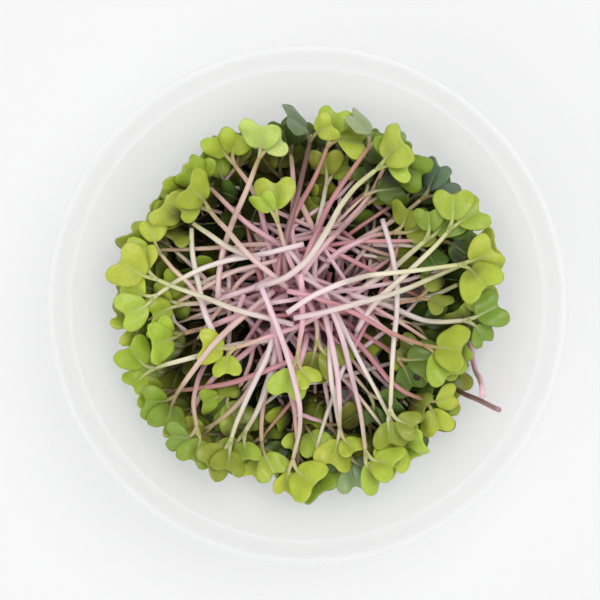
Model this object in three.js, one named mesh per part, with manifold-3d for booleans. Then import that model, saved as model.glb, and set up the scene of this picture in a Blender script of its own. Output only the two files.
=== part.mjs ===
// Cut radish microgreens heaped in a round tub of translucent plastic.
// Millimetres, +Z up. The origin is on the tub's axis, on the surface that the tub stands on.
//
// A shoot is a stem from its cut end to its tip, where two notched seed leaves stand on short stalks.
// The shoots are laid one after another. A map of the heap's height tells how far each new one has
// to be lifted, so it rests on those under it and crosses none of them.
import * as THREE from "three";
import Module from "manifold-3d";

const wasm = await Module();
wasm.setup();

// ---- driving dimensions ----
const RIM_RADIUS = 75;
const RIM_HEIGHT = 54;
const WALL = 1.0;
const FLOOR_RADIUS = 58;
const FLOOR_TOP = 2.6;
const FOOT_RISE = 1.6; // the middle of the base stands this far above the ring that it rests on
const FOOT_INNER_RADIUS = 54;
const SHOULDER_RADIUS = 68.4; // the inner wall just under the lid's seat
const SHOULDER_HEIGHT = 45;
const SEAT_RADIUS = 69.6; // the lid's seat starts here, on a narrow ledge
const SEAT_TOP_RADIUS = 72.2;
const LIP_DROP = 4.4; // the rolled lip hangs down this far outside
const LATHE_SIDES = 44;

const STEM_HALF_AT_CUT = 0.82; // half the stem's thickness
const STEM_HALF_AT_TIP = 0.72;
const STEM_REACH = STEM_HALF_AT_CUT * 1.05; // from the stem's middle to its top, on a slope too
const TIP_SLOPE = 0.3; // the section at the tip leans by this share of the stem's own slope
const STALK_LENGTH = 3.4;
const STALK_HALF = 0.5;
const LEAST_SPLAY = 0.2; // radians that a stalk keeps to its own side of the stem
const BLADE_THICK = 0.75;
const LEAST_ARCH = 0.02; // how far a blade's end droops, in leaf lengths
const MOST_ARCH = 0.2;
const LEAST_FOLD = -0.05; // how steeply the halves of a blade rise from the midrib
const MOST_FOLD = 0.12;
const GAP = 0.15; // air between a shoot and what it lies on
const SAG = 1.3; // a station of a stem hangs at most this far below the line between its neighbours
const MOST_REACH = 60.5; // no leaf is laid further from the tub's axis
const SETTLING_PASSES = 4;
const SAMPLE_STEP = 0.5; // between the points at which the heap's height is read or raised
const STEM_SHARES = [0, 1 / 6, 2 / 6, 3 / 6, 4 / 6, 5 / 6, 1]; // where the stem's stations are
const LOW_STEM_SHARES = [0, 0.14, 0.57, 1]; // the same on the shoots deep in the heap

// Half of a seed leaf's outline: distance along the midrib and out from it, in leaf lengths.
const BLADE_OUTLINE = [[0.12, 0.3], [0.45, 0.6], [0.82, 0.57], [1.0, 0.28]];
const BLADE_NOTCH = 0.88;
const BLADE_MIDDLE = 0.44;

// ---- the heap ----
const BUNCHES = 8;
const SHOOTS_IN_BUNCH = 6;

// The top of the heap, from the lowest shoot to the highest. tip and cut are the ends of the stem,
// seen from above. bow is how far its middle bends to the left on the way to the tip, and sway how
// far it snakes. A leaf is its heading in degrees from +X, its length, its roll about the midrib
// and its pitch above the level.
const TOP_SHOOTS = [
  { tip: [36, -19], cut: [56.5, -31], bow: 1, sway: 0, leaves: [[150, 8, 0, 0], [-150, 7, 20, 0]] },
  { tip: [49.5, -8], cut: [52.5, -28], bow: -1, sway: 0, leaves: [[70, 7, 30, 0], [130, 7, 0, 0]] },
  { tip: [-23, 44], cut: [-7, 4], bow: -2, sway: 1, leaves: [[112, 8, 20, 0], [62, 8, -15, 10]] },
  { tip: [-38, -36], cut: [-8, -5], bow: -2, sway: 1, leaves: [[188, 7, 10, 0], [-120, 8, 15, 0]] },
  { tip: [3, -11], cut: [-3, 7], bow: 2, sway: 0, leaves: [[-40, 9, 0, 0], [-105, 9, 10, -10]] },
  { tip: [-30, 36], cut: [1, 13], bow: 2, sway: 0, leaves: [[145, 8, 10, 5], [95, 7, 30, 0]] },
  { tip: [-8, 39], cut: [6, 11], bow: -2, sway: 0, leaves: [[70, 8, 10, 0], [128, 7, 20, 0]] },
  { tip: [36, 33], cut: [1, 7], bow: 1, sway: 1, leaves: [[72, 9, 50, 10], [-12, 8, -20, 0]] },
  { tip: [6, 37], cut: [2, 5], bow: 1, sway: 0, leaves: [[98, 8, 10, 0], [35, 7, 40, 0]] },
  { tip: [-27, 6], cut: [-12, -1], bow: 1, sway: 0, leaves: [[160, 9.5, 45, 0], [205, 8, 0, 0]] },
  { tip: [27, -16], cut: [6, -3], bow: 1, sway: 0, leaves: [[5, 9, 20, 10], [-65, 9, 0, -15]] },
  { tip: [-14, -43], cut: [-7, -5], bow: -1, sway: 1, leaves: [[-60, 8, 10, 0], [-110, 8, 10, 0]] },
  { tip: [27, 22], cut: [6, 13], bow: 2, sway: 0, leaves: [[75, 8, 25, 0], [20, 9, -10, 0]] },
  { tip: [-38, 0], cut: [-9, 9], bow: 2, sway: 0, leaves: [[150, 7, 30, 0], [200, 8, 0, 0]] },
  { tip: [-5, 46], cut: [-2, 12], bow: 1, sway: 1, leaves: [[105, 8, 30, 10], [68, 8, -20, 0]] },
  { tip: [36, -29.5], cut: [8, -4], bow: -2, sway: 1, leaves: [[15, 7, 30, 0], [-72, 8, 10, 5]] },
  { tip: [-29, -37], cut: [-7, -7], bow: 2, sway: -1, leaves: [[188, 8, 20, 0], [-130, 9, 10, 0]] },
  { tip: [12.5, -46], cut: [7, -5], bow: -2, sway: 0, leaves: [[-25, 8, 20, 0], [-75, 8, 10, 0]] },
  { tip: [47, 6.5], cut: [10, 0], bow: -2, sway: 1, leaves: [[35, 8, 30, 0], [-50, 8, 10, 0]] },
  { tip: [-19, -39], cut: [-9, -9], bow: 2, sway: 0, leaves: [[-70, 7, 20, 0], [-120, 8, 10, 0]] },
  { tip: [-1, -37], cut: [0, -9], bow: -3, sway: 1, leaves: [[-60, 8, 10, 0], [-125, 7, 30, 0]] },
  { tip: [-41, -26.5], cut: [-3, -16], bow: 2, sway: 0, leaves: [[180, 8, 10, 0], [215, 7, 60, 0]] },
  { tip: [-33, -37.5], cut: [-19, 3], bow: -4, sway: 2, leaves: [[175, 7, 20, 0], [-112, 8, 10, 0]] },
  { tip: [-38, -9], cut: [-6, 3], bow: 1, sway: 0, leaves: [[155, 7, 30, 0], [192, 9.5, 0, 0]] },
  { tip: [-50, -21], cut: [-8, -10], bow: -1, sway: 0, leaves: [[128, 9, 12, 10], [-135, 6.5, 10, 0]] },
  { tip: [-23, -41], cut: [-10, -5], bow: 1, sway: 1, leaves: [[-95, 8, 20, 0], [-140, 9, 10, 0]] },
  { tip: [36, 19.5], cut: [9, 0], bow: -1, sway: 0, leaves: [[100, 7, 20, 0], [52, 9, 30, 0]] },
  { tip: [-35, 24], cut: [-28, -9], bow: 2, sway: 0, leaves: [[165, 8, 10, 0], [100, 8, 20, 0]] },
  { tip: [7, 53], cut: [-9, 6], bow: 2, sway: 1, leaves: [[75, 8, 10, 0], [-5, 9, 30, 0]] },
  { tip: [10, -38.5], cut: [2, 9], bow: 2, sway: 0, leaves: [[-45, 7, 30, 0], [-108, 9, 0, 0]] },
  { tip: [1, 54], cut: [-6, 5], bow: 2, sway: 1, leaves: [[145, 9.5, 60, 20], [20, 7, 20, 0]] },
  { tip: [-9, 25], cut: [3, -4], bow: 1, sway: 0, leaves: [[130, 7, 45, 0], [92, 9.5, 0, 0]] },
  { tip: [-22, -13], cut: [8, -1], bow: 1, sway: 0, leaves: [[-92, 6.5, 10, 0], [172, 8, 0, 0]] },
  { tip: [50, -5], cut: [13, 3], bow: -2, sway: 1, leaves: [[28, 9, 0, 0], [-60, 6.5, 30, 0]] },
  { tip: [-14.5, 44.5], cut: [-27, 2], bow: 2, sway: 1, leaves: [[85, 9.5, 0, 10], [30, 7, 20, 0]] },
  { tip: [-46, 2.3], cut: [-1, 18], bow: -3, sway: 1, leaves: [[135, 7, 20, 0], [204, 9, 10, 0]] },
  { tip: [-43, -30], cut: [-10, 4], bow: -2, sway: 0, leaves: [[180, 8, 12, 0], [-100, 9, 10, 0]] },
  { tip: [19.5, 49], cut: [-1, 12], bow: 2, sway: 0, leaves: [[132, 9, 60, 10], [-15, 7, 20, 0]] },
  { tip: [25, -32], cut: [23, 26], bow: 3, sway: 1, leaves: [[-20, 7, 20, 0], [-82, 8, 10, 0]] },
  { tip: [-47, 8], cut: [-4, -6], bow: 1, sway: 0, leaves: [[148, 10.5, 10, 20], [105, 7, 30, 0]] },
  { tip: [23.5, 42], cut: [-2, 8], bow: -1, sway: 1, leaves: [[85, 7, 20, 0], [-28, 10.5, 40, 0]] },
  { tip: [-3, -16], cut: [-2, 9], bow: 1, sway: 0, leaves: [[-50, 6.5, 30, 0], [-105, 9, 0, 0]] },
  { tip: [18, -45.5], cut: [5, 4], bow: 2, sway: 0, leaves: [[-8, 9.5, 35, 0], [-50, 9, 0, -10]] },
  { tip: [44, 23], cut: [15, -8], bow: 1, sway: 1, leaves: [[92, 9, 10, 0], [30, 9, 20, 0]] },
  { tip: [-35, 25], cut: [-14, 13], bow: 1, sway: 0, leaves: [[150, 9.5, 20, 0], [112, 7, 30, 0]] },
  { tip: [-29, 28], cut: [-6, 5], bow: 1, sway: 0, leaves: [[140, 9.5, 0, 10], [196, 7, 30, -10]] },
  { tip: [36, -12.5], cut: [-6, 4], bow: 1, sway: 1, leaves: [[-4, 10.5, 0, 10], [-58, 9.5, 10, 0]] },
  { tip: [55, 14.5], cut: [-4, -4], bow: -2, sway: 0, leaves: [[30, 9.5, 20, 50], [-40, 7, 0, 0]] },
  { tip: [24, 46], cut: [-15, 5], bow: -3, sway: -3, leaves: [[52, 10.5, 35, 10], [-10, 7, 0, -20]] },
  { tip: [46, 12], cut: [-6, -2.5], bow: 4, sway: 1, leaves: [[28, 9, 20, 0], [-58, 10.5, 0, 5]] },
  { tip: [-4.5, -49], cut: [-13.5, 5], bow: 5, sway: -1, leaves: [[-30, 10.5, 0, 0], [-100, 7, 30, 0]] },
];

// ---- a seeded draw, the same on every run ----
let seed = 12156;
function draw(low, high) {
  seed = (seed * 16807) % 2147483647;
  return low + ((high - low) * seed) / 2147483647;
}

// ---- the map of the heap's height, one value for each square millimetre ----
const MAP_HALF = 76;
const MAP_SIDE = 2 * MAP_HALF;
const REACH = 0.6; // a reading takes in the cells this far around it
const CELL_CORNER = 0.7; // from a cell's middle to its corner
const BEND_WIDTH = 3;
const BEND_RISE = 0.8;
const WALL_CLEARANCE = 1.5;
const heap = new Float64Array(MAP_SIDE * MAP_SIDE);

// The height of the tub's inside, a little over the bend between its floor and its wall.
function wallHeight(radius) {
  if (radius < FLOOR_RADIUS - BEND_WIDTH) return FLOOR_TOP;
  const slope = (SHOULDER_HEIGHT - FLOOR_TOP) / (SHOULDER_RADIUS - FLOOR_RADIUS);
  return FLOOR_TOP + Math.max(BEND_RISE, (radius - FLOOR_RADIUS) * slope + WALL_CLEARANCE);
}

function cellAt(x, y) {
  const column = Math.min(MAP_SIDE - 1, Math.max(0, Math.floor(x + MAP_HALF)));
  const row = Math.min(MAP_SIDE - 1, Math.max(0, Math.floor(y + MAP_HALF)));
  return row * MAP_SIDE + column;
}

function clearHeap() {
  for (let row = 0; row < MAP_SIDE; row++) {
    for (let column = 0; column < MAP_SIDE; column++) {
      const x = column + 0.5 - MAP_HALF;
      const y = row + 0.5 - MAP_HALF;
      heap[row * MAP_SIDE + column] = wallHeight(Math.hypot(x, y) + CELL_CORNER);
    }
  }
}

function heapTop(x, y) {
  return Math.max(
    heap[cellAt(x - REACH, y - REACH)],
    heap[cellAt(x + REACH, y - REACH)],
    heap[cellAt(x - REACH, y + REACH)],
    heap[cellAt(x + REACH, y + REACH)],
    heap[cellAt(x, y)],
  );
}

function raiseHeap(x, y, z) {
  const cell = cellAt(x, y);
  heap[cell] = Math.max(heap[cell], z);
}

// ---- the stem ----
function stemRoute(shoot, shares) {
  const [tipX, tipY] = shoot.tip;
  const [cutX, cutY] = shoot.cut;
  const length = Math.hypot(tipX - cutX, tipY - cutY);
  const leftX = -(tipY - cutY) / length;
  const leftY = (tipX - cutX) / length;
  return shares.map((t) => {
    const bend = shoot.bow * 4 * t * (1 - t) + shoot.sway * Math.sin(2 * Math.PI * t);
    const x = cutX + (tipX - cutX) * t + leftX * bend;
    const y = cutY + (tipY - cutY) * t + leftY * bend;
    return new THREE.Vector3(x, y, FLOOR_TOP);
  });
}

function stemHalf(t) {
  return STEM_HALF_AT_CUT + (STEM_HALF_AT_TIP - STEM_HALF_AT_CUT) * t;
}

// Calls visit(x, y, share) on points across the stem between stations i and i + 1.
function acrossStem(route, i, visit) {
  const from = route[i];
  const to = route[i + 1];
  const flat = Math.hypot(to.x - from.x, to.y - from.y);
  const steps = Math.ceil(flat / SAMPLE_STEP);
  for (let step = 0; step <= steps; step++) {
    const share = step / steps;
    for (const side of [-1, 0, 1]) {
      const out = (side * STEM_HALF_AT_CUT) / flat;
      const x = from.x + (to.x - from.x) * share - (to.y - from.y) * out;
      const y = from.y + (to.y - from.y) * share + (to.x - from.x) * out;
      visit(x, y, share);
    }
  }
}

// What the stem has to clear between stations i and i + 1: the share of the way, and the height.
function obstacles(route, i) {
  const found = [];
  acrossStem(route, i, (x, y, share) => {
    found.push([share, heapTop(x, y) + STEM_REACH + GAP]);
  });
  return found;
}

// Sets the stations as low as the heap allows, without letting the stem dip like a string.
// Those in fixed keep at least the height that they have. A station isn't lifted for an obstacle
// that lies next to its neighbour, because it would have to go very high to clear it.
const NEAR_STATION = 0.05;

function restStem(route, fixed) {
  const last = route.length - 1;
  const floors = route.map((station, i) => (fixed.includes(i) ? station.z : 0));
  const blocks = route.slice(1).map((_, i) => obstacles(route, i));
  route.forEach((station, i) => {
    const near = [...(blocks[i - 1] ?? []), ...(blocks[i] ?? [])];
    station.z = Math.max(floors[i], ...near.map(([, height]) => height));
  });
  for (let pass = 0; pass < SETTLING_PASSES; pass++) {
    route.forEach((station, i) => {
      let lowest = floors[i];
      for (const [share, height] of blocks[i - 1] ?? []) {
        if (share < NEAR_STATION) continue;
        lowest = Math.max(lowest, (height - route[i - 1].z * (1 - share)) / share);
      }
      for (const [share, height] of blocks[i] ?? []) {
        if (share > 1 - NEAR_STATION) continue;
        lowest = Math.max(lowest, (height - route[i + 1].z * share) / (1 - share));
      }
      if (i > 0 && i < last) {
        lowest = Math.max(lowest, (route[i - 1].z + route[i + 1].z) / 2 - SAG);
      }
      station.z = Math.min(station.z, lowest);
    });
  }
}

// Four corners of a station's square section: left and right above, right and left below.
// The tip's section stands nearly upright, whatever the stem's slope, to carry the stalks.
function stemSection(route, i) {
  const last = route.length - 1;
  const ahead = route[Math.min(i + 1, last)];
  const behind = route[Math.max(i - 1, 0)];
  const along = new THREE.Vector3().subVectors(ahead, behind);
  if (i === last) along.z *= TIP_SLOPE;
  along.normalize();
  const left = new THREE.Vector3(-along.y, along.x, 0).normalize();
  const up = new THREE.Vector3().crossVectors(along, left);
  const half = stemHalf(i / last);
  const corner = (side, rise) =>
    route[i].clone().addScaledVector(left, side * half).addScaledVector(up, rise * half);
  return [corner(1, 1), corner(-1, 1), corner(-1, -1), corner(1, -1)];
}

// ---- a leaf ----
const DEGREE = Math.PI / 180;

function headingOf(route) {
  const tip = route[route.length - 1];
  const before = route[route.length - 2];
  return Math.atan2(tip.y - before.y, tip.x - before.x);
}

function turnBetween(from, to) {
  return Math.atan2(Math.sin(to - from), Math.cos(to - from));
}

function direction(heading, pitch) {
  const flat = Math.cos(pitch);
  return new THREE.Vector3(Math.cos(heading) * flat, Math.sin(heading) * flat, Math.sin(pitch));
}

// The stalk leaves the tip half way between the stem's direction and the blade's, on its own side.
function leafFrame(tip, stemHeading, leaf, side) {
  const turn = turnBetween(stemHeading, leaf.heading);
  const splay = side > 0 ? Math.max(turn / 2, LEAST_SPLAY) : Math.min(turn / 2, -LEAST_SPLAY);
  const stalk = direction(stemHeading + splay, leaf.pitch / 2);
  const root = tip.clone().addScaledVector(stalk, STALK_LENGTH);
  const along = direction(leaf.heading, leaf.pitch);
  const level = new THREE.Vector3(-Math.sin(leaf.heading), Math.cos(leaf.heading), 0);
  const upright = new THREE.Vector3().crossVectors(along, level);
  const across = level.clone().multiplyScalar(Math.cos(leaf.roll));
  across.addScaledVector(upright, Math.sin(leaf.roll));
  const up = new THREE.Vector3().crossVectors(along, across);
  return { root, along, across, up };
}

// A point of the blade: the halves fold up from the midrib, and the blade arches down to its end.
function bladePoint(frame, leaf, u, v, face) {
  const lift = leaf.fold * Math.abs(v) - leaf.arch * u * u + (face * BLADE_THICK) / leaf.length / 2;
  const point = frame.root.clone();
  point.addScaledVector(frame.along, u * leaf.length);
  point.addScaledVector(frame.across, v * leaf.length);
  point.addScaledVector(frame.up, lift * leaf.length);
  return point;
}

// The outline from the stalk's right side round to its left side, in leaf lengths.
function bladeOutline(leaf) {
  const stalk = STALK_HALF / leaf.length;
  const right = BLADE_OUTLINE.map(([u, v]) => [u, -v]);
  const left = BLADE_OUTLINE.map(([u, v]) => [u, v]).reverse();
  return [[0, -stalk], ...right, [BLADE_NOTCH, 0], ...left, [0, stalk]];
}

// Each face of the blade as triangles of outline numbers; the midrib's own point is the last.
const FACE_TRIANGLES = [
  [0, 11, 10],
  [0, 1, 11],
  [1, 2, 11],
  [2, 3, 11],
  [3, 5, 11],
  [3, 4, 5],
  [11, 9, 10],
  [11, 8, 9],
  [11, 7, 8],
  [11, 5, 7],
  [5, 6, 7],
];

function leafPoints(frame, leaf, face) {
  const places = [...bladeOutline(leaf), [BLADE_MIDDLE, 0]];
  return places.map(([u, v]) => bladePoint(frame, leaf, u, v, face));
}

// Calls visit(point) on points all over one face of the leaf.
function overLeaf(points, visit) {
  for (const [a, b, c] of FACE_TRIANGLES) {
    const longest = Math.max(
      points[a].distanceTo(points[b]),
      points[b].distanceTo(points[c]),
      points[c].distanceTo(points[a]),
    );
    const steps = Math.ceil(longest / SAMPLE_STEP);
    for (let i = 0; i <= steps; i++) {
      for (let j = 0; j <= steps - i; j++) {
        const point = points[a].clone().multiplyScalar((steps - i - j) / steps);
        point.addScaledVector(points[b], i / steps);
        point.addScaledVector(points[c], j / steps);
        visit(point);
      }
    }
  }
}

function liftForLeaf(tip, stemHeading, leaf, side) {
  const frame = leafFrame(tip, stemHeading, leaf, side);
  const points = leafPoints(frame, leaf, -1);
  let lift = 0;
  overLeaf(points, (point) => {
    lift = Math.max(lift, heapTop(point.x, point.y) + GAP - point.z);
  });
  return lift;
}

// A leaf is tried at a few pitches and keeps the one that lifts the tip least.
const PITCH_TRIES = [0, 12, -12, 24, -24, 36];
const PITCH_COST = 0.06; // millimetres of lift that a degree of pitch is worth

function settleLeaf(tip, stemHeading, leaf, side) {
  const wanted = leaf.pitch;
  let best = Infinity;
  let bestPitch = wanted;
  let bestLift = 0;
  for (const change of PITCH_TRIES) {
    leaf.pitch = wanted + change * DEGREE;
    const lift = liftForLeaf(tip, stemHeading, leaf, side);
    const cost = lift + Math.abs(change) * PITCH_COST;
    if (cost < best) {
      best = cost;
      bestPitch = leaf.pitch;
      bestLift = lift;
    }
  }
  leaf.pitch = bestPitch;
  return bestLift;
}

// ---- a shoot laid on the heap ----
const OVERLAP_PITCH = 34 * DEGREE; // between two leaves of a shoot that head the same way
const OVERLAP_ROLL = 10 * DEGREE;
const CLEAR_TURN = 95 * DEGREE; // leaves this far apart don't overlap
const OVERLAP_RATE = 1.3; // an overlap counts as whole before the two headings are the same

function makeLeaves({ tip, cut, leaves: rows }) {
  const arch = draw(LEAST_ARCH, MOST_ARCH);
  const stemHeading = Math.atan2(tip[1] - cut[1], tip[0] - cut[0]);
  const turn = ([heading]) => turnBetween(stemHeading, heading * DEGREE);
  const leftFirst = [...rows].sort((a, b) => turn(b) - turn(a));
  const leaves = leftFirst.map(([heading, length, roll, pitch]) => ({
    heading: heading * DEGREE,
    length,
    roll: roll * DEGREE,
    pitch: pitch * DEGREE,
    fold: draw(LEAST_FOLD, MOST_FOLD),
    arch,
  }));
  const [left, right] = leaves;
  const apart = Math.abs(turnBetween(left.heading, right.heading));
  const overlap = Math.min(1, Math.max(0, OVERLAP_RATE * (1 - apart / CLEAR_TURN)));
  const upper = left.pitch >= right.pitch ? left : right;
  const lower = upper === left ? right : left;
  if (overlap > 0) {
    const sign = upper === left ? -1 : 1;
    leaves.forEach((leaf) => {
      leaf.roll = sign * Math.max(Math.abs(leaf.roll), OVERLAP_ROLL);
    });
  }
  return { leaves, upper, lower, step: overlap * OVERLAP_PITCH };
}

// The lower leaf is settled first, and the upper one stays a step of pitch above it.
function settlePair(tip, stemHeading, { leaves, upper, lower, step }) {
  const sideOf = (leaf) => (leaf === leaves[0] ? 1 : -1);
  const lowerLift = settleLeaf(tip, stemHeading, lower, sideOf(lower));
  upper.pitch = Math.max(upper.pitch, lower.pitch + step);
  const upperLift = settleLeaf(tip, stemHeading, upper, sideOf(upper));
  upper.pitch = Math.max(upper.pitch, lower.pitch + step);
  return Math.max(lowerLift, upperLift);
}

// The tip is drawn in if a leaf would reach further from the tub's axis than MOST_REACH.
function drawIn(shoot, route, leaves) {
  const tip = route[route.length - 1];
  const reaches = leaves.map((leaf, i) => {
    const frame = leafFrame(tip, headingOf(route), leaf, i === 0 ? 1 : -1);
    return Math.max(...leafPoints(frame, leaf, 0).map((point) => Math.hypot(point.x, point.y)));
  });
  const excess = Math.max(0, Math.max(...reaches) - MOST_REACH);
  const kept = 1 - excess / Math.hypot(tip.x, tip.y);
  return { ...shoot, tip: shoot.tip.map((value) => value * kept) };
}

function layShoot(shoot, shares) {
  const pair = makeLeaves(shoot);
  const { leaves } = pair;
  const route = stemRoute(drawIn(shoot, stemRoute(shoot, shares), leaves), shares);
  restStem(route, []);
  const stemHeading = headingOf(route);
  const tip = route[route.length - 1];
  tip.z += settlePair(tip, stemHeading, pair);
  restStem(route, [route.length - 1]);
  return { route, leaves, stemHeading };
}

// The heap grows by what the shoot covers.
function addToHeap({ route, leaves, stemHeading }) {
  for (let i = 0; i < route.length - 1; i++) {
    acrossStem(route, i, (x, y, share) => {
      const height = route[i].z * (1 - share) + route[i + 1].z * share;
      raiseHeap(x, y, height + STEM_REACH);
    });
  }
  const tip = route[route.length - 1];
  leaves.forEach((leaf, i) => {
    const frame = leafFrame(tip, stemHeading, leaf, i === 0 ? 1 : -1);
    overLeaf(leafPoints(frame, leaf, 1), (point) => raiseHeap(point.x, point.y, point.z));
  });
}

// ---- the shoot's solid ----
// The tip's section is split down its middle, and each leaf's stalk grows out of its own half.
function shootSolid({ route, leaves, stemHeading }) {
  const points = [];
  const triangles = [];
  const add = (point) => points.push(point) - 1;
  const rings = route.map((_, i) => stemSection(route, i).map(add));
  const last = rings.length - 1;
  const [upLeft, upRight, downRight, downLeft] = rings[last];
  const middle = (a, b) => add(points[a].clone().add(points[b]).multiplyScalar(0.5));
  const upMiddle = middle(upLeft, upRight);
  const downMiddle = middle(downLeft, downRight);

  for (let i = 0; i < last; i++) {
    for (let k = 0; k < 4; k++) {
      const [a, b] = [rings[i][k], rings[i][(k + 1) % 4]];
      const [aNext, bNext] = [rings[i + 1][k], rings[i + 1][(k + 1) % 4]];
      const splits = i + 1 === last && k % 2 === 0;
      if (splits) {
        const mid = k === 0 ? upMiddle : downMiddle;
        triangles.push([a, b, mid], [b, bNext, mid], [a, mid, aNext]);
      } else {
        triangles.push([a, b, bNext], [a, bNext, aNext]);
      }
    }
  }
  const [a, b, c, d] = rings[0];
  triangles.push([a, d, c], [a, c, b]);

  const halves = [
    [upLeft, upMiddle, downMiddle, downLeft],
    [upMiddle, upRight, downRight, downMiddle],
  ];
  leaves.forEach((leaf, i) => {
    const frame = leafFrame(route[last], stemHeading, leaf, i === 0 ? 1 : -1);
    const top = leafPoints(frame, leaf, 1).map(add);
    const bottom = leafPoints(frame, leaf, -1).map(add);
    const [topLeft, topRight, bottomRight, bottomLeft] = halves[i];
    const end = top.length - 2;
    triangles.push([topRight, top[0], top[end]], [topRight, top[end], topLeft]);
    triangles.push([bottomRight, bottom[end], bottom[0]], [bottomRight, bottomLeft, bottom[end]]);
    for (const [p, q, r] of FACE_TRIANGLES) {
      triangles.push([top[p], top[q], top[r]], [bottom[p], bottom[r], bottom[q]]);
    }
    const topEdge = [topRight, ...top.slice(0, end + 1), topLeft];
    const bottomEdge = [bottomRight, ...bottom.slice(0, end + 1), bottomLeft];
    for (let k = 0; k < topEdge.length - 1; k++) {
      triangles.push([bottomEdge[k], bottomEdge[k + 1], topEdge[k + 1]]);
      triangles.push([bottomEdge[k], topEdge[k + 1], topEdge[k]]);
    }
  });
  return { points, triangles };
}

function toManifold({ points, triangles }) {
  const vertProperties = new Float32Array(points.flatMap((point) => [point.x, point.y, point.z]));
  const triVerts = new Uint32Array(triangles.flat());
  return new wasm.Manifold(new wasm.Mesh({ numProp: 3, vertProperties, triVerts }));
}

function toGeometry(solid) {
  const mesh = solid.getMesh();
  const geometry = new THREE.BufferGeometry();
  geometry.setAttribute("position", new THREE.BufferAttribute(mesh.vertProperties, 3));
  geometry.setIndex(new THREE.BufferAttribute(mesh.triVerts, 1));
  return geometry;
}

// ---- the shoots deep in the heap: bunches whose stems cross and hold together ----
const BUNCH_TRIES = 6; // each shoot takes the lowest of this many places
const CROSS_STATION = 1;
const CROSS_STEP = 0.22; // each stem of a bunch crosses a little above the one before
const CROSS_SPREAD = 9; // how far from the tub's axis a bunch may cross, along X and along Y
const CROSS_PASSES = 3;
const SLIVER = 0.02; // triangles narrower than this are taken out of a bunch

function bunchShoot(crossX, crossY, heading, reach) {
  const tip = [Math.cos(heading) * reach, Math.sin(heading) * reach];
  const share = LOW_STEM_SHARES[CROSS_STATION];
  const cut = [crossX, crossY].map((cross, k) => (cross - tip[k] * share) / (1 - share));
  const degrees = heading / DEGREE;
  const leaves = [
    [degrees + draw(30, 65), draw(7, 10), draw(-15, 15), draw(-5, 10)],
    [degrees - draw(30, 65), draw(7, 10), draw(-15, 15), draw(-5, 10)],
  ];
  return { tip, cut, bow: 0, sway: 0, leaves };
}

function tipHeight(laid) {
  return laid.route[laid.route.length - 1].z;
}

function layBunch(number) {
  const crossX = draw(-CROSS_SPREAD, CROSS_SPREAD);
  const crossY = draw(-CROSS_SPREAD, CROSS_SPREAD);
  const laid = [];
  for (let k = 0; k < SHOOTS_IN_BUNCH; k++) {
    const tries = [];
    for (let attempt = 0; attempt < BUNCH_TRIES; attempt++) {
      const heading = (k + number / BUNCHES + draw(-0.3, 0.3)) * ((2 * Math.PI) / SHOOTS_IN_BUNCH);
      const reach = k % 2 === 0 ? draw(36, 47) : draw(16, 38);
      tries.push(layShoot(bunchShoot(crossX, crossY, heading, reach), LOW_STEM_SHARES));
    }
    laid.push(tries.reduce((best, one) => (tipHeight(one) < tipHeight(best) ? one : best)));
  }
  for (let pass = 0; pass < CROSS_PASSES; pass++) {
    const crossing = Math.max(...laid.map((one, k) => one.route[CROSS_STATION].z - k * CROSS_STEP));
    laid.forEach((one, k) => {
      one.route[CROSS_STATION].z = crossing + k * CROSS_STEP;
      restStem(one.route, [CROSS_STATION, one.route.length - 1]);
    });
  }
  laid.forEach(addToHeap);
  const joined = laid.map((one) => toManifold(shootSolid(one))).reduce((all, one) => all.add(one));
  const bodies = joined.simplify(SLIVER).decompose();
  return bodies.reduce((main, body) => (body.volume() > main.volume() ? body : main));
}

// ---- the tub, turned round its axis ----
function tubGeometry() {
  const rimInner = SEAT_TOP_RADIUS + WALL;
  const profile = [
    [0, FOOT_RISE],
    [FOOT_INNER_RADIUS, FOOT_RISE],
    [FOOT_INNER_RADIUS + 1.2, 0],
    [FLOOR_RADIUS, 0],
    [FLOOR_RADIUS + 1.6, 1.2],
    [FLOOR_RADIUS + 2.1, FLOOR_TOP + 2.6],
    [SHOULDER_RADIUS + WALL, SHOULDER_HEIGHT - 0.7],
    [SEAT_RADIUS + WALL, SHOULDER_HEIGHT - 0.2],
    [rimInner, RIM_HEIGHT - 2.2],
    [RIM_RADIUS - WALL, RIM_HEIGHT - 1.8],
    [RIM_RADIUS - WALL + 0.1, RIM_HEIGHT - LIP_DROP],
    [RIM_RADIUS, RIM_HEIGHT - LIP_DROP],
    [RIM_RADIUS, RIM_HEIGHT - 0.9],
    [RIM_RADIUS - 0.8, RIM_HEIGHT],
    [SEAT_TOP_RADIUS + 0.9, RIM_HEIGHT],
    [SEAT_TOP_RADIUS, RIM_HEIGHT - 1],
    [SEAT_RADIUS, SHOULDER_HEIGHT + 0.7],
    [SHOULDER_RADIUS, SHOULDER_HEIGHT],
    [FLOOR_RADIUS + 0.6, FLOOR_TOP + 2.4],
    [FLOOR_RADIUS - 1.4, FLOOR_TOP],
    [0, FLOOR_TOP],
  ];
  const outline = profile.map(([radius, height]) => new THREE.Vector2(radius, height));
  return new THREE.LatheGeometry(outline, LATHE_SIDES).rotateX(Math.PI / 2);
}

// ---- materials ----
const clearPlastic = new THREE.MeshStandardMaterial({
  color: 0xe9ebec,
  roughness: 0.35,
  metalness: 0,
  transparent: true,
  opacity: 0.45,
});
const DEEP_GREEN = 0x5c7f2a;
const FRESH_GREEN = 0x9db83f;

function green(color) {
  return new THREE.MeshStandardMaterial({ color, roughness: 0.6, metalness: 0 });
}

// ---- the whole part ----
const part = new THREE.Group();

function place(name, geometry, material) {
  const mesh = new THREE.Mesh(geometry, material);
  mesh.name = name;
  part.add(mesh);
}

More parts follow.
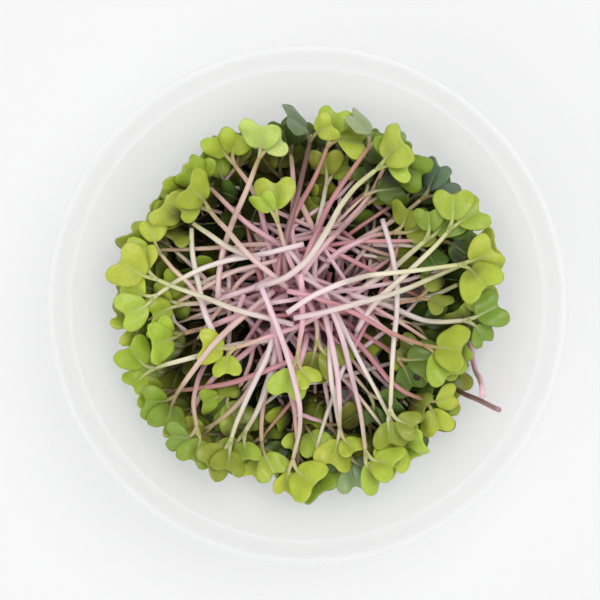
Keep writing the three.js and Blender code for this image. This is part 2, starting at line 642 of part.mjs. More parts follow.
clearHeap();
place("tub", tubGeometry(), clearPlastic);
for (let number = 0; number < BUNCHES; number++) {
  place(`bunch_${number + 1}`, toGeometry(layBunch(number)), green(DEEP_GREEN));
}
TOP_SHOOTS.forEach((shoot, i) => {
  const laid = layShoot(shoot, STEM_SHARES);
  addToHeap(laid);
  place(`shoot_${i + 1}`, toGeometry(toManifold(shootSolid(laid))), green(FRESH_GREEN));
});

export default part;
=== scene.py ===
# %% [markdown]
# # Radish microgreens in a round tub
# The real object is a heap of cut radish seedlings in a round, milky plastic tub. A seedling is a
# thin pink or white stem with two notched seed leaves on short stalks. The solids of the frame
# hold every shoot's place, with square stems and flat, angular leaves. Here each of them gets a
# fine piece of the same form: round stems that curve, domed leaves with veins, and skin.
# The frame is loaded first, because everything else is placed from it.

# %% Load the frame
import functools
import math
import random
from types import SimpleNamespace

import bmesh
import bpy
import numpy as np
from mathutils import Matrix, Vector


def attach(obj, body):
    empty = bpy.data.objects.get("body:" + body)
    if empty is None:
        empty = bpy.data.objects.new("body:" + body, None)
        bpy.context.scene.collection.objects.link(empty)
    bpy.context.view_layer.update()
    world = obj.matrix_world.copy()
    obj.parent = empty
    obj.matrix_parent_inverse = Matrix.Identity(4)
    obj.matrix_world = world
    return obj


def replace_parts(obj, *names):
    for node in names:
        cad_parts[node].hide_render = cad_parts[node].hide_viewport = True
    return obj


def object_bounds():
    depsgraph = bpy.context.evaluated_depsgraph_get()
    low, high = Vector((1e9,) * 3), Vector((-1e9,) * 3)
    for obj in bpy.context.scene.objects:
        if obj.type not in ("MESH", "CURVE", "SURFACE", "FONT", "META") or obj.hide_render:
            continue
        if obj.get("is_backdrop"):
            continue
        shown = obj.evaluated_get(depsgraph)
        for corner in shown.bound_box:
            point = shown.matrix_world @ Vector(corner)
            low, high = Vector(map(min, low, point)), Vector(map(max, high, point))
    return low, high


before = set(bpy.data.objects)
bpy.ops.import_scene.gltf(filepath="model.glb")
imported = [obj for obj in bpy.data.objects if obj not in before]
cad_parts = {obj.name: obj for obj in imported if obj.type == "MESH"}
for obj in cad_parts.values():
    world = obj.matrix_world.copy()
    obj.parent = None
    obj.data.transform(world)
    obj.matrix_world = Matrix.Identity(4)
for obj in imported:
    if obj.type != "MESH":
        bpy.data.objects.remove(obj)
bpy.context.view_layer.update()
bpy.ops.object.select_all(action="DESELECT")

# %% [markdown]
# ## How the shoots lie
# The solids of the frame were laid by a rule, one shoot after another, on a map of the heap's
# height. The fine shoots have to lie in the same places, so the rule is repeated here with the
# same numbers and the same seed. A map of heights is a cheap stand-in for a physics simulation:
# every new shoot is lowered until a sample of it would touch what lies under it.

# %% Driving dimensions, in millimetres as in the solids
FLOOR_RADIUS = 58
FLOOR_TOP = 2.6
SHOULDER_RADIUS = 68.4  # the inner wall, just under the seat of a lid
SHOULDER_HEIGHT = 45
STEM_HALF_AT_CUT = 0.82  # half the stem's thickness
STEM_REACH = STEM_HALF_AT_CUT * 1.05  # from the stem's middle to its top, on a slope too
STALK_LENGTH = 3.4
STALK_HALF = 0.5
LEAST_SPLAY = 0.2  # radians that a stalk keeps to its own side of the stem
BLADE_THICK = 0.75
LEAST_ARCH, MOST_ARCH = 0.02, 0.2  # how far a blade's end droops, in its lengths
LEAST_FOLD, MOST_FOLD = -0.05, 0.12  # how steeply its halves rise from the midrib
GAP = 0.15  # air between a shoot and what it lies on
SAG = 1.3  # a station hangs at most this far below the line between its neighbours
MOST_REACH = 60.5  # no leaf lies further from the tub's axis
SETTLING_PASSES = 4
SAMPLE_STEP = 0.5  # between the points at which the heap's height is read or raised
STEM_SHARES = [k / 6 for k in range(7)]  # where a stem's stations are, from its cut to its tip
LOW_STEM_SHARES = [0, 0.14, 0.57, 1]  # the same on the shoots deep in the heap
# The blade in its own lengths, along the midrib and out from it.
BLADE_OUTLINE = [(0.12, 0.3), (0.45, 0.6), (0.82, 0.57), (1.0, 0.28)]
BLADE_NOTCH = 0.88
BLADE_MIDDLE = 0.44
BUNCHES = 8
SHOOTS_IN_BUNCH = 6
DEGREE = math.pi / 180
LEAVES_CLEAR = 95 * DEGREE  # leaves whose headings are this far apart don't overlap
LEAST_ROLL = 10 * DEGREE  # outwards, of two leaves that overlap
MOST_PITCH_STEP = 34  # degrees between two leaves that overlap fully
OVERLAP_RATE = 1.3  # an overlap counts as full before the two headings are the same

# %% The shoots on top of the heap, from the lowest to the highest
# Ends of the stem, bow, sway, two leaves (heading, length, roll, pitch), stem colour, leaf colour.
TOP_SHOOTS = [
    ((36, -19), (56.5, -31), 1, 0, (150, 8, 0, 0), (-150, 7, 20, 0), "plum", "fresh"),
    ((49.5, -8), (52.5, -28), -1, 0, (70, 7, 30, 0), (130, 7, 0, 0), "pink", "fresh"),
    ((-23, 44), (-7, 4), -2, 1, (112, 8, 20, 0), (62, 8, -15, 10), "pink", "lime"),
    ((-38, -36), (-8, -5), -2, 1, (188, 7, 10, 0), (-120, 8, 15, 0), "pink", "lime"),
    ((3, -11), (-3, 7), 2, 0, (-40, 9, 0, 0), (-105, 9, 10, -10), "lilac", "olive"),
    ((-30, 36), (1, 13), 2, 0, (145, 8, 10, 5), (95, 7, 30, 0), "pink", "fresh"),
    ((-8, 39), (6, 11), -2, 0, (70, 8, 10, 0), (128, 7, 20, 0), "tan", "olive"),
    ((36, 33), (1, 7), 1, 1, (72, 9, 50, 10), (-12, 8, -20, 0), "tan", "slate"),
    ((6, 37), (2, 5), 1, 0, (98, 8, 10, 0), (35, 7, 40, 0), "white", "olive"),
    ((-27, 6), (-12, -1), 1, 0, (160, 9.5, 45, 0), (205, 8, 0, 0), "pink", "green"),
    ((27, -16), (6, -3), 1, 0, (5, 9, 20, 10), (-65, 9, 0, -15), "red", "deep"),
    ((-14, -43), (-7, -5), -1, 1, (-60, 8, 10, 0), (-110, 8, 10, 0), "pink", "lime"),
    ((27, 22), (6, 13), 2, 0, (75, 8, 25, 0), (20, 9, -10, 0), "pink", "olive"),
    ((-38, 0), (-9, 9), 2, 0, (150, 7, 30, 0), (200, 8, 0, 0), "lilac", "fresh"),
    ((-5, 46), (-2, 12), 1, 1, (105, 8, 30, 10), (68, 8, -20, 0), "pink", "deep"),
    ((36, -29.5), (8, -4), -2, 1, (15, 7, 30, 0), (-72, 8, 10, 5), "red", "lime"),
    ((-29, -37), (-7, -7), 2, -1, (188, 8, 20, 0), (-130, 9, 10, 0), "tan", "lime"),
    ((12.5, -46), (7, -5), -2, 0, (-25, 8, 20, 0), (-75, 8, 10, 0), "white", "grey"),
    ((47, 6.5), (10, 0), -2, 1, (35, 8, 30, 0), (-50, 8, 10, 0), "straw", "fresh"),
    ((-19, -39), (-9, -9), 2, 0, (-70, 7, 20, 0), (-120, 8, 10, 0), "white", "fresh"),
    ((-1, -37), (0, -9), -3, 1, (-60, 8, 10, 0), (-125, 7, 30, 0), "pink", "lime"),
    ((-41, -26.5), (-3, -16), 2, 0, (180, 8, 10, 0), (215, 7, 60, 0), "red", "fresh"),
    ((-33, -37.5), (-19, 3), -4, 2, (175, 7, 20, 0), (-112, 8, 10, 0), "pink", "green"),
    ((-38, -9), (-6, 3), 1, 0, (155, 7, 30, 0), (192, 9.5, 0, 0), "pink", "lime"),
    ((-50, -21), (-8, -10), -1, 0, (128, 9, 12, 10), (-135, 6.5, 10, 0), "straw", "fresh"),
    ((-23, -41), (-10, -5), 1, 1, (-95, 8, 20, 0), (-140, 9, 10, 0), "white", "olive"),
    ((36, 19.5), (9, 0), -1, 0, (100, 7, 20, 0), (52, 9, 30, 0), "straw", "green"),
    ((-35, 24), (-28, -9), 2, 0, (165, 8, 10, 0), (100, 8, 20, 0), "white", "fresh"),
    ((7, 53), (-9, 6), 2, 1, (75, 8, 10, 0), (-5, 9, 30, 0), "red", "lime"),
    ((10, -38.5), (2, 9), 2, 0, (-45, 7, 30, 0), (-108, 9, 0, 0), "lilac", "lime"),
    ((1, 54), (-6, 5), 2, 1, (145, 9.5, 60, 20), (20, 7, 20, 0), "plum", "slate lime"),
    ((-9, 25), (3, -4), 1, 0, (130, 7, 45, 0), (92, 9.5, 0, 0), "pink", "lime"),
    ((-22, -13), (8, -1), 1, 0, (-92, 6.5, 10, 0), (172, 8, 0, 0), "pink", "lime"),
    ((50, -5), (13, 3), -2, 1, (28, 9, 0, 0), (-60, 6.5, 30, 0), "white", "green"),
    ((-14.5, 44.5), (-27, 2), 2, 1, (85, 9.5, 0, 10), (30, 7, 20, 0), "tan", "pale"),
    ((-46, 2.3), (-1, 18), -3, 1, (135, 7, 20, 0), (204, 9, 10, 0), "white", "lime"),
    ((-43, -30), (-10, 4), -2, 0, (180, 8, 12, 0), (-100, 9, 10, 0), "tan", "green"),
    ((19.5, 49), (-1, 12), 2, 0, (132, 9, 60, 10), (-15, 7, 20, 0), "red", "grey"),
    ((25, -32), (23, 26), 3, 1, (-20, 7, 20, 0), (-82, 8, 10, 0), "white", "olive"),
    ((-47, 8), (-4, -6), 1, 0, (148, 10.5, 10, 20), (105, 7, 30, 0), "straw", "lime"),
    ((23.5, 42), (-2, 8), -1, 1, (85, 7, 20, 0), (-28, 10.5, 40, 0), "pink", "green"),
    ((-3, -16), (-2, 9), 1, 0, (-50, 6.5, 30, 0), (-105, 9, 0, 0), "pink", "lime"),
    ((18, -45.5), (5, 4), 2, 0, (-8, 9.5, 35, 0), (-50, 9, 0, -10), "lilac", "lime"),
    ((44, 23), (15, -8), 1, 1, (92, 9, 10, 0), (30, 9, 20, 0), "straw", "fresh"),
    ((-35, 25), (-14, 13), 1, 0, (150, 9.5, 20, 0), (112, 7, 30, 0), "straw", "lime"),
    ((-29, 28), (-6, 5), 1, 0, (140, 9.5, 0, 10), (196, 7, 30, -10), "tan", "fresh"),
    ((36, -12.5), (-6, 4), 1, 1, (-4, 10.5, 0, 10), (-58, 9.5, 10, 0), "red", "fresh"),
    ((55, 14.5), (-4, -4), -2, 0, (30, 9.5, 20, 50), (-40, 7, 0, 0), "straw", "lime"),
    ((24, 46), (-15, 5), -3, -3, (52, 10.5, 35, 10), (-10, 7, 0, -20), "straw", "lime"),
    ((46, 12), (-6, -2.5), 4, 1, (28, 9, 20, 0), (-58, 10.5, 0, 5), "straw", "lime"),
    ((-4.5, -49), (-13.5, 5), 5, -1, (-30, 10.5, 0, 0), (-100, 7, 30, 0), "lilac", "lime"),
]

# %% A seeded draw, the same on every run
seed = 12156


def draw(low, high):
    global seed
    seed = seed * 16807 % 2147483647
    return low + (high - low) * seed / 2147483647


# %% The map of the heap's height, one value for each square millimetre
MAP_HALF = 76
MAP_SIDE = 2 * MAP_HALF
REACH = 0.6  # the map is read in the middle and at four corners this far out
READINGS = [(-REACH, -REACH), (REACH, -REACH), (-REACH, REACH), (REACH, REACH), (0, 0)]
HALF_DIAGONAL = 0.7  # of a cell
BEND_REACH, BEND_RISE, WALL_MARGIN = 3, 0.8, 1.5


def wall_height(radius):
    """The tub's inside, a little over the bend between its floor and its wall."""
    slope = (SHOULDER_HEIGHT - FLOOR_TOP) / (SHOULDER_RADIUS - FLOOR_RADIUS)
    rise = np.maximum(BEND_RISE, (radius - FLOOR_RADIUS) * slope + WALL_MARGIN)
    return np.where(radius < FLOOR_RADIUS - BEND_REACH, FLOOR_TOP, FLOOR_TOP + rise)


def cells(x, y):
    """Which rows and columns of the map points fall in."""
    column = np.clip(np.floor(x + MAP_HALF).astype(int), 0, MAP_SIDE - 1)
    row = np.clip(np.floor(y + MAP_HALF).astype(int), 0, MAP_SIDE - 1)
    return row, column


cell_middles = np.arange(MAP_SIDE) + 0.5 - MAP_HALF
empty_tub = wall_height(np.hypot(cell_middles[:, None], cell_middles[None, :]) + HALF_DIAGONAL)
heap = empty_tub.copy()


def heap_top(x, y):
    return np.max([heap[cells(x + dx, y + dy)] for dx, dy in READINGS], axis=0)


# %% A stem: where it lies, seen from above, and how low it can lie
def stem_route(tip, cut, bow, sway, shares):
    tip, cut = np.array(tip, float), np.array(cut, float)
    length = math.hypot(*(tip - cut))
    left = np.array([-(tip - cut)[1], (tip - cut)[0]]) / length
    route = np.zeros((len(shares), 3))
    for i, t in enumerate(shares):
        bend = bow * 4 * t * (1 - t) + sway * math.sin(2 * math.pi * t)
        route[i, :2] = cut + (tip - cut) * t + left * bend
    route[:, 2] = FLOOR_TOP
    return route


def across_stem(route, i):
    """Points across the stem between stations i and i + 1, and their share of the way."""
    start = route[i]
    run = route[i + 1] - start
    flat = math.hypot(run[0], run[1])
    steps = math.ceil(flat / SAMPLE_STEP)
    share = np.repeat(np.arange(steps + 1) / steps, 3)
    out = np.tile([-1, 0, 1], steps + 1) * STEM_HALF_AT_CUT / flat
    x = start[0] + run[0] * share - run[1] * out
    y = start[1] + run[1] * share + run[0] * out
    return x, y, share


# %% Lower a stem's stations as far as the heap allows
NEAR_END = 0.05  # share of a stretch that is too near a station to decide its height


def rest_stem(route, fixed=()):
    """Lowers the stations as far as the heap allows; those in fixed keep at least their height."""
    last = len(route) - 1
    floors = [route[i, 2] if i in fixed else 0 for i in range(last + 1)]
    blocks = []
    for i in range(last):
        x, y, share = across_stem(route, i)
        blocks.append((share, heap_top(x, y) + STEM_REACH + GAP))
    for i in range(last + 1):
        near = [blocks[k][1].max() for k in (i - 1, i) if 0 <= k < last]
        route[i, 2] = max(floors[i], *near)
    for _ in range(SETTLING_PASSES):
        for i in range(last + 1):
            lowest = floors[i]
            if i > 0:
                share, height = blocks[i - 1]
                far = share >= NEAR_END
                needed = (height - route[i - 1, 2] * (1 - share))[far] / share[far]
                lowest = max(lowest, needed.max())
            if i < last:
                share, height = blocks[i]
                far = share <= 1 - NEAR_END
                needed = (height - route[i + 1, 2] * share)[far] / (1 - share[far])
                lowest = max(lowest, needed.max())
            if 0 < i < last:
                lowest = max(lowest, (route[i - 1, 2] + route[i + 1, 2]) / 2 - SAG)
            route[i, 2] = min(route[i, 2], lowest)


# %% A leaf: its place at the stem's tip and the points of its blade
def turn_between(start, end):
    return math.atan2(math.sin(end - start), math.cos(end - start))


def direction(heading, pitch):
    flat = math.cos(pitch)
    return np.array([math.cos(heading) * flat, math.sin(heading) * flat, math.sin(pitch)])


def leaf_frame(tip, stem_heading, leaf, side):
    """The blade's root, its directions along, across and up, and its stalk's direction."""
    turn = turn_between(stem_heading, leaf.heading)
    splay = max(turn / 2, LEAST_SPLAY) if side > 0 else min(turn / 2, -LEAST_SPLAY)
    stalk = direction(stem_heading + splay, leaf.pitch / 2)
    along = direction(leaf.heading, leaf.pitch)
    level = np.array([-math.sin(leaf.heading), math.cos(leaf.heading), 0])
    across = level * math.cos(leaf.roll) + np.cross(along, level) * math.sin(leaf.roll)
    root = tip + stalk * STALK_LENGTH
    return root, along, across, np.cross(along, across), stalk


def leaf_points(frame_of_leaf, leaf, face):
    """The points of one face of the blade: its outline, then the middle of its midrib."""
    root, along, across, up, _ = frame_of_leaf
    stalk = STALK_HALF / leaf.length
    right = [(0, -stalk)] + [(u, -v) for u, v in BLADE_OUTLINE]
    left = [(u, v) for u, v in reversed(BLADE_OUTLINE)] + [(0, stalk)]
    u, v = np.array(right + [(BLADE_NOTCH, 0)] + left + [(BLADE_MIDDLE, 0)]).T[:, :, None]
    lift = leaf.fold * np.abs(v) - leaf.arch * u * u + face * BLADE_THICK / leaf.length / 2
    return root + (u * along + v * across + lift * up) * leaf.length


# %% Points all over a leaf, for what it touches and what it hides
# Its triangles, as numbers of the points that leaf_points gives.
FACE_TRIANGLES = [
    (0, 11, 10), (0, 1, 11), (1, 2, 11), (2, 3, 11), (3, 5, 11), (3, 4, 5),
    (11, 9, 10), (11, 8, 9), (11, 7, 8), (11, 5, 7), (5, 6, 7),
]  # fmt: skip


@functools.lru_cache
def triangle_weights(steps):
    pairs = [(i, j) for i in range(steps + 1) for j in range(steps - i + 1)]
    return np.array([(steps - i - j, i, j) for i, j in pairs]) / steps


def over_leaf(points, step=SAMPLE_STEP):
    """Points all over one face of the leaf, at most a step apart."""
    found = []
    for corners in FACE_TRIANGLES:
        a, b, c = points[list(corners)]
        longest = max(math.dist(a, b), math.dist(b, c), math.dist(c, a))
        found.append(triangle_weights(math.ceil(longest / step)) @ np.array([a, b, c]))
    return np.vstack(found)


# %% The pitch of a leaf is the one that lifts the tip least
PITCH_CHANGES = (0, 12, -12, 24, -24, 36)  # degrees
COST_OF_DEGREE = 0.06  # as bad as this many millimetres of lift


def lift_for_leaf(tip, stem_heading, leaf, side):
    points = over_leaf(leaf_points(leaf_frame(tip, stem_heading, leaf, side), leaf, -1))
    return max(0, (heap_top(points[:, 0], points[:, 1]) + GAP - points[:, 2]).max())


def settle_leaf(tip, stem_heading, leaf, side):
    wanted, best = leaf.pitch, (math.inf, 0, 0)
    for change in PITCH_CHANGES:
        leaf.pitch = wanted + change * DEGREE
        lift = lift_for_leaf(tip, stem_heading, leaf, side)
        cost = lift + abs(change) * COST_OF_DEGREE
        if cost < best[0]:
            best = (cost, leaf.pitch, lift)
    leaf.pitch = best[1]
    return best[2]


# %% The two leaves of a shoot: where they overlap, the upper one stands more steeply
def make_leaves(tip, cut, rows):
    """The two leaves of a shoot, the left one first, and the step of pitch between them."""
    arch = draw(LEAST_ARCH, MOST_ARCH)
    stem_heading = math.atan2(tip[1] - cut[1], tip[0] - cut[0])
    rows = sorted(rows, key=lambda row: -turn_between(stem_heading, row[0] * DEGREE))
    leaves = []
    for heading, length, roll, pitch in rows:
        fold = draw(LEAST_FOLD, MOST_FOLD)
        leaf = SimpleNamespace(heading=heading * DEGREE, length=length, roll=roll * DEGREE)
        leaf.pitch, leaf.fold, leaf.arch = pitch * DEGREE, fold, arch
        leaves.append(leaf)
    left, right = leaves
    apart = abs(turn_between(left.heading, right.heading))
    overlap = min(1, max(0, OVERLAP_RATE * (1 - apart / LEAVES_CLEAR)))
    upper, lower = (left, right) if left.pitch >= right.pitch else (right, left)
    if overlap > 0:
        sign = -1 if upper is left else 1
        for leaf in leaves:
            leaf.roll = sign * max(abs(leaf.roll), LEAST_ROLL)
    return leaves, upper, lower, overlap * MOST_PITCH_STEP * DEGREE


def settle_pair(tip, stem_heading, leaves, upper, lower, step):
    sides = {id(leaves[0]): 1, id(leaves[1]): -1}
    lower_lift = settle_leaf(tip, stem_heading, lower, sides[id(lower)])
    upper.pitch = max(upper.pitch, lower.pitch + step)
    upper_lift = settle_leaf(tip, stem_heading, upper, sides[id(upper)])
    upper.pitch = max(upper.pitch, lower.pitch + step)
    return max(lower_lift, upper_lift)


# %% A shoot laid on the heap
def heading_of(route):
    return math.atan2(route[-1, 1] - route[-2, 1], route[-1, 0] - route[-2, 0])


def lay_shoot(tip, cut, bow, sway, rows, shares):
    leaves, upper, lower, step = make_leaves(tip, cut, rows)
    route = stem_route(tip, cut, bow, sway, shares)
    reaches = []
    for leaf, side in zip(leaves, (1, -1)):
        points = leaf_points(leaf_frame(route[-1], heading_of(route), leaf, side), leaf, 0)
        reaches.append(np.hypot(points[:, 0], points[:, 1]).max())
    excess = max(0, max(reaches) - MOST_REACH)
    kept = 1 - excess / math.hypot(route[-1, 0], route[-1, 1])
    route = stem_route([value * kept for value in tip], cut, bow, sway, shares)
    rest_stem(route)
    stem_heading = heading_of(route)
    route[-1, 2] += settle_pair(route[-1], stem_heading, leaves, upper, lower, step)
    rest_stem(route, [len(route) - 1])
    return SimpleNamespace(route=route, leaves=leaves, heading=stem_heading)


def add_to_heap(shoot):
    for i in range(len(shoot.route) - 1):
        x, y, share = across_stem(shoot.route, i)
        height = shoot.route[i, 2] * (1 - share) + shoot.route[i + 1, 2] * share
        np.maximum.at(heap, cells(x, y), height + STEM_REACH)
    for leaf, side in zip(shoot.leaves, (1, -1)):
        place = leaf_frame(shoot.route[-1], shoot.heading, leaf, side)
        points = over_leaf(leaf_points(place, leaf, 1))
        np.maximum.at(heap, cells(points[:, 0], points[:, 1]), points[:, 2])


# %% Bunches: the shoots deep in the heap, six to a bunch, crossing near the middle
TIP_REACHES = [(36, 47), (16, 38)]  # by turns far out and nearer the middle
TRIES = 6  # of which the one that lies lowest stays
CROSSING_SPREAD = 9  # from the tub's axis, along X and along Y
CROSSING_STEP = 0.22  # between neighbours where they cross, so little that they join
CROSSING_PASSES = 3


def bunch_shoot(cross, heading, reach):
    tip = [math.cos(heading) * reach, math.sin(heading) * reach]
    share = LOW_STEM_SHARES[1]
    cut = [(cross[k] - tip[k] * share) / (1 - share) for k in (0, 1)]
    degrees = heading / DEGREE
    rows = []  # heading, length, roll and pitch of each leaf
    for sign in (1, -1):
        rows.append((degrees + sign * draw(30, 65), draw(7, 10), draw(-15, 15), draw(-5, 10)))
    return lay_shoot(tip, cut, 0, 0, rows, LOW_STEM_SHARES)


def lay_bunch(number):
    cross = [draw(-CROSSING_SPREAD, CROSSING_SPREAD) for _ in range(2)]
    laid = []
    for k in range(SHOOTS_IN_BUNCH):
        tries = []
        for _ in range(TRIES):
            heading = (k + number / BUNCHES + draw(-0.3, 0.3)) * (2 * math.pi / SHOOTS_IN_BUNCH)
            reach = draw(*TIP_REACHES[k % 2])
            tries.append(bunch_shoot(cross, heading, reach))
        laid.append(min(tries, key=lambda one: one.route[-1, 2]))
    for _ in range(CROSSING_PASSES):
        crossing = max(one.route[1, 2] - k * CROSSING_STEP for k, one in enumerate(laid))
        for k, one in enumerate(laid):
            one.route[1, 2] = crossing + k * CROSSING_STEP
            rest_stem(one.route, [1, len(one.route) - 1])
    for one in laid:
        add_to_heap(one)
    return laid


# %% Lay the whole heap in the order in which the solids were laid
bunches = [lay_bunch(number) for number in range(BUNCHES)]
top_shoots = []
for tip, cut, bow, sway, first, second, stem_colour, leaf_colour in TOP_SHOOTS:
    shoot = lay_shoot(tip, cut, bow, sway, [first, second], STEM_SHARES)
    shoot.stem_colour, shoot.leaf_colour = stem_colour, leaf_colour
    add_to_heap(shoot)
    top_shoots.append(shoot)
print("shoots laid by the rule:", len(top_shoots) + BUNCHES * SHOOTS_IN_BUNCH)

# %% A smooth line through the stations of a stem
LINE_STEP = 0.5  # millimetres between the samples of a line
ROUNDING = 7  # samples on each side that are averaged


def smooth_line(stations):
    """Samples of the line through the stations, with its corners rounded and its ends kept."""
    stations = np.array(stations, float)
    lengths = np.linalg.norm(np.diff(stations, axis=0), axis=1)
    marks = np.concatenate([[0], np.cumsum(lengths)])
    count = max(8, int(marks[-1] / LINE_STEP))
    places = np.linspace(0, marks[-1], count + 1)
    line = np.stack([np.interp(places, marks, stations[:, k]) for k in range(3)], axis=1)
    reach = min(ROUNDING, count // 3)
    before = 2 * line[0] - line[reach:0:-1]
    after = 2 * line[-1] - line[-2 : -reach - 2 : -1]
    padded = np.vstack([before, line, after])
    weights = np.hanning(2 * reach + 3)[1:-1]
    weights /= weights.sum()
    return np.stack([np.convolve(padded[:, k], weights, "valid") for k in range(3)], axis=1)


# %% [markdown]
# ## More shoots between the others
# A real heap of this size holds some two hundred shoots. Those of the frame carry the form, and
# the rest are slipped in between them. The space is cut into small cells, each free or taken. A
# new shoot is tried in a few places and at every height. It may lie where its leaves meet
# nothing, where something is under it, and where it hides no shoot that is already on top. Of
# the tries that may stay, the one that adds most to the look from above is kept.

# %% Which cells of the space are taken, and what is on top
LEVEL = 0.5  # millimetres between two levels of cells
LEVELS = 120
FLOOR, STEM, LEAF = range(3)
taken = np.arange(LEVELS) * LEVEL < empty_tub[:, :, None]
half_middles = (np.arange(MAP_SIDE * 2) + 0.5) / 2 - MAP_HALF
half_reach = np.hypot(half_middles[:, None], half_middles[None, :])
top_height = wall_height(half_reach)
top_kind = np.full(top_height.shape, FLOOR)


# %% The cells of a shoot: those it takes, and those it covers from above
def half_cells(points):
    """Cells of half a millimetre, for what is seen from above, as numbers in one row."""
    spot = np.clip(np.floor((points[:, :2] + MAP_HALF) * 2).astype(int), 0, MAP_SIDE * 2 - 1)
    return spot[:, 1] * MAP_SIDE * 2 + spot[:, 0]


def stem_samples(route):
    """Points in the middle of a stem and on four sides of it, just under its skin."""
    line = smooth_line(route)
    along = np.gradient(line, axis=0)
    along /= np.linalg.norm(along, axis=1, keepdims=True)
    left = np.stack([-along[:, 1], along[:, 0], 0 * along[:, 0]], axis=1)
    up = np.cross(along, left)
    half = STEM_HALF_AT_CUT * 0.85
    sides = [line + way * half for way in (left, -left, up, -up)]
    return np.vstack([line, *sides])


def leaf_samples(shoot, faces=(-0.6, 0.6), step=SAMPLE_STEP):
    """Points over both leaves. A face is counted in half thicknesses from the middle."""
    found = []
    for leaf, side in zip(shoot.leaves, (1, -1)):
        place = leaf_frame(shoot.route[-1], shoot.heading, leaf, side)
        found += [over_leaf(leaf_points(place, leaf, face), step) for face in faces]
    return np.vstack(found)


def put_on_top(points, kind):
    points = points[np.argsort(points[:, 2])]
    spots = half_cells(points)
    higher = points[:, 2] > top_height.flat[spots]
    top_height.flat[spots[higher]] = points[higher, 2]
    top_kind.flat[spots[higher]] = kind


def take(shoot):
    """Its cells are no longer free, and it may now be what is seen from above."""
    points = np.vstack([stem_samples(shoot.route), leaf_samples(shoot)])
    level = np.clip((points[:, 2] / LEVEL).astype(int), 0, LEVELS - 1)
    taken[(*cells(points[:, 0], points[:, 1]), level)] = True
    line = smooth_line(shoot.route)
    line = np.vstack([a + (b - a) * k / 3 for a, b in zip(line, line[1:]) for k in range(3)])
    steps = np.arange(-2, 3) * 0.3  # over the stem's width
    shifts = [(x, y, 0) for x in steps for y in steps]
    put_on_top(np.vstack([line + shift for shift in shifts]), STEM)
    put_on_top(leaf_samples(shoot, (0,), 0.4), LEAF)


for shoot in top_shoots + [one for bunch in bunches for one in bunch]:
    take(shoot)

# %% What may not be hidden: where a shoot of the list is the highest thing, its own height
ALMOST_TOP = 0.6  # what lies this little under the top still counts as on top
listed = np.zeros_like(heap)
for shoot in top_shoots:
    for points in (stem_samples(shoot.route), leaf_samples(shoot)):
        np.maximum.at(listed, cells(points[:, 0], points[:, 1]), points[:, 2])
seen = np.where(listed > heap - ALMOST_TOP, listed, np.inf)
print(f"listed shoots are on top in {np.isfinite(seen).mean():.0%} of the map")


# %% A shoot tried in one place
def chance_shoot(target, length, spread, slopes, chance):
    """A shoot that lies outwards, roughly, and has one of its leaves over the target."""
    heading = math.atan2(target[1], target[0]) + chance.uniform(-spread, spread)
    side = chance.choice([-0.6, 0.6])
    way = np.array([math.cos(heading + side), math.sin(heading + side)])
    tip = target - way * chance.uniform(4, 7)
    cut = tip - np.array([math.cos(heading), math.sin(heading)]) * length
    shares = [0, 0.35, 0.7, 1]
    route = stem_route(tip, cut, chance.uniform(-3, 3), chance.uniform(-1, 1), shares)
    route[:, 2] = np.array(shares) * length * chance.uniform(*slopes)
    leaves = []
    arch = chance.uniform(0, 0.2)
    for sign in (1, -1):
        leaf = SimpleNamespace(heading=heading + sign * chance.uniform(30, 65) * DEGREE, arch=arch)
        leaf.length = chance.uniform(6, 10)
        leaf.roll = chance.uniform(-45, 45) * DEGREE
        leaf.pitch = chance.uniform(-20, 45) * DEGREE
        leaf.fold = chance.uniform(LEAST_FOLD, MOST_FOLD)
        leaves.append(leaf)
    return SimpleNamespace(route=route, leaves=leaves, heading=heading_of(route))


# %% The heights at which it may stay
MAY_HIDE = (0.2, 0.03)  # shares of its stem and its leaves that may lie over a listed shoot


def heights_that_fit(shoot, highest, leaf_touch, stem_touch):
    """Each height to raise it by where it fits and rests, but one level lower it would not."""
    steps = np.arange(int(highest / LEVEL))
    met, low, hiding = [], [], []
    for points in (stem_samples(shoot.route), leaf_samples(shoot)):
        row, column = cells(points[:, 0], points[:, 1])
        raised = points[:, 2:] + steps * LEVEL
        level = np.clip(np.floor(raised / LEVEL).astype(int), 0, LEVELS - 1)
        under = raised < empty_tub[row, column][:, None]
        met.append((taken[row[:, None], column[:, None], level] & ~under).mean(axis=0))
        low.append(under.any(axis=0))
        hiding.append((raised > seen[row, column][:, None]).mean(axis=0))
    fits = (met[0] <= stem_touch) & (met[1] <= leaf_touch) & ~low[0] & ~low[1]
    fits &= (hiding[0] < MAY_HIDE[0]) & (hiding[1] < MAY_HIDE[1])
    return np.flatnonzero(fits & ~np.roll(fits, 1)) * LEVEL


# %% What it adds to the look from above
STEMS_WITHIN = 43  # radius in which stems are wanted over leaves
MIDDLE_RADIUS = 34  # radius in which stems are wanted on top
CUTS_WITHIN = 44  # radius in which cut ends stay
CUT_COVER = 1  # that lies over a cut end, or it would show
WORTH_RAISING = 2  # that a leaf lies over what was on top
HIDDEN_COST = 0.6  # of half a cell of stem that is hidden, against one of floor


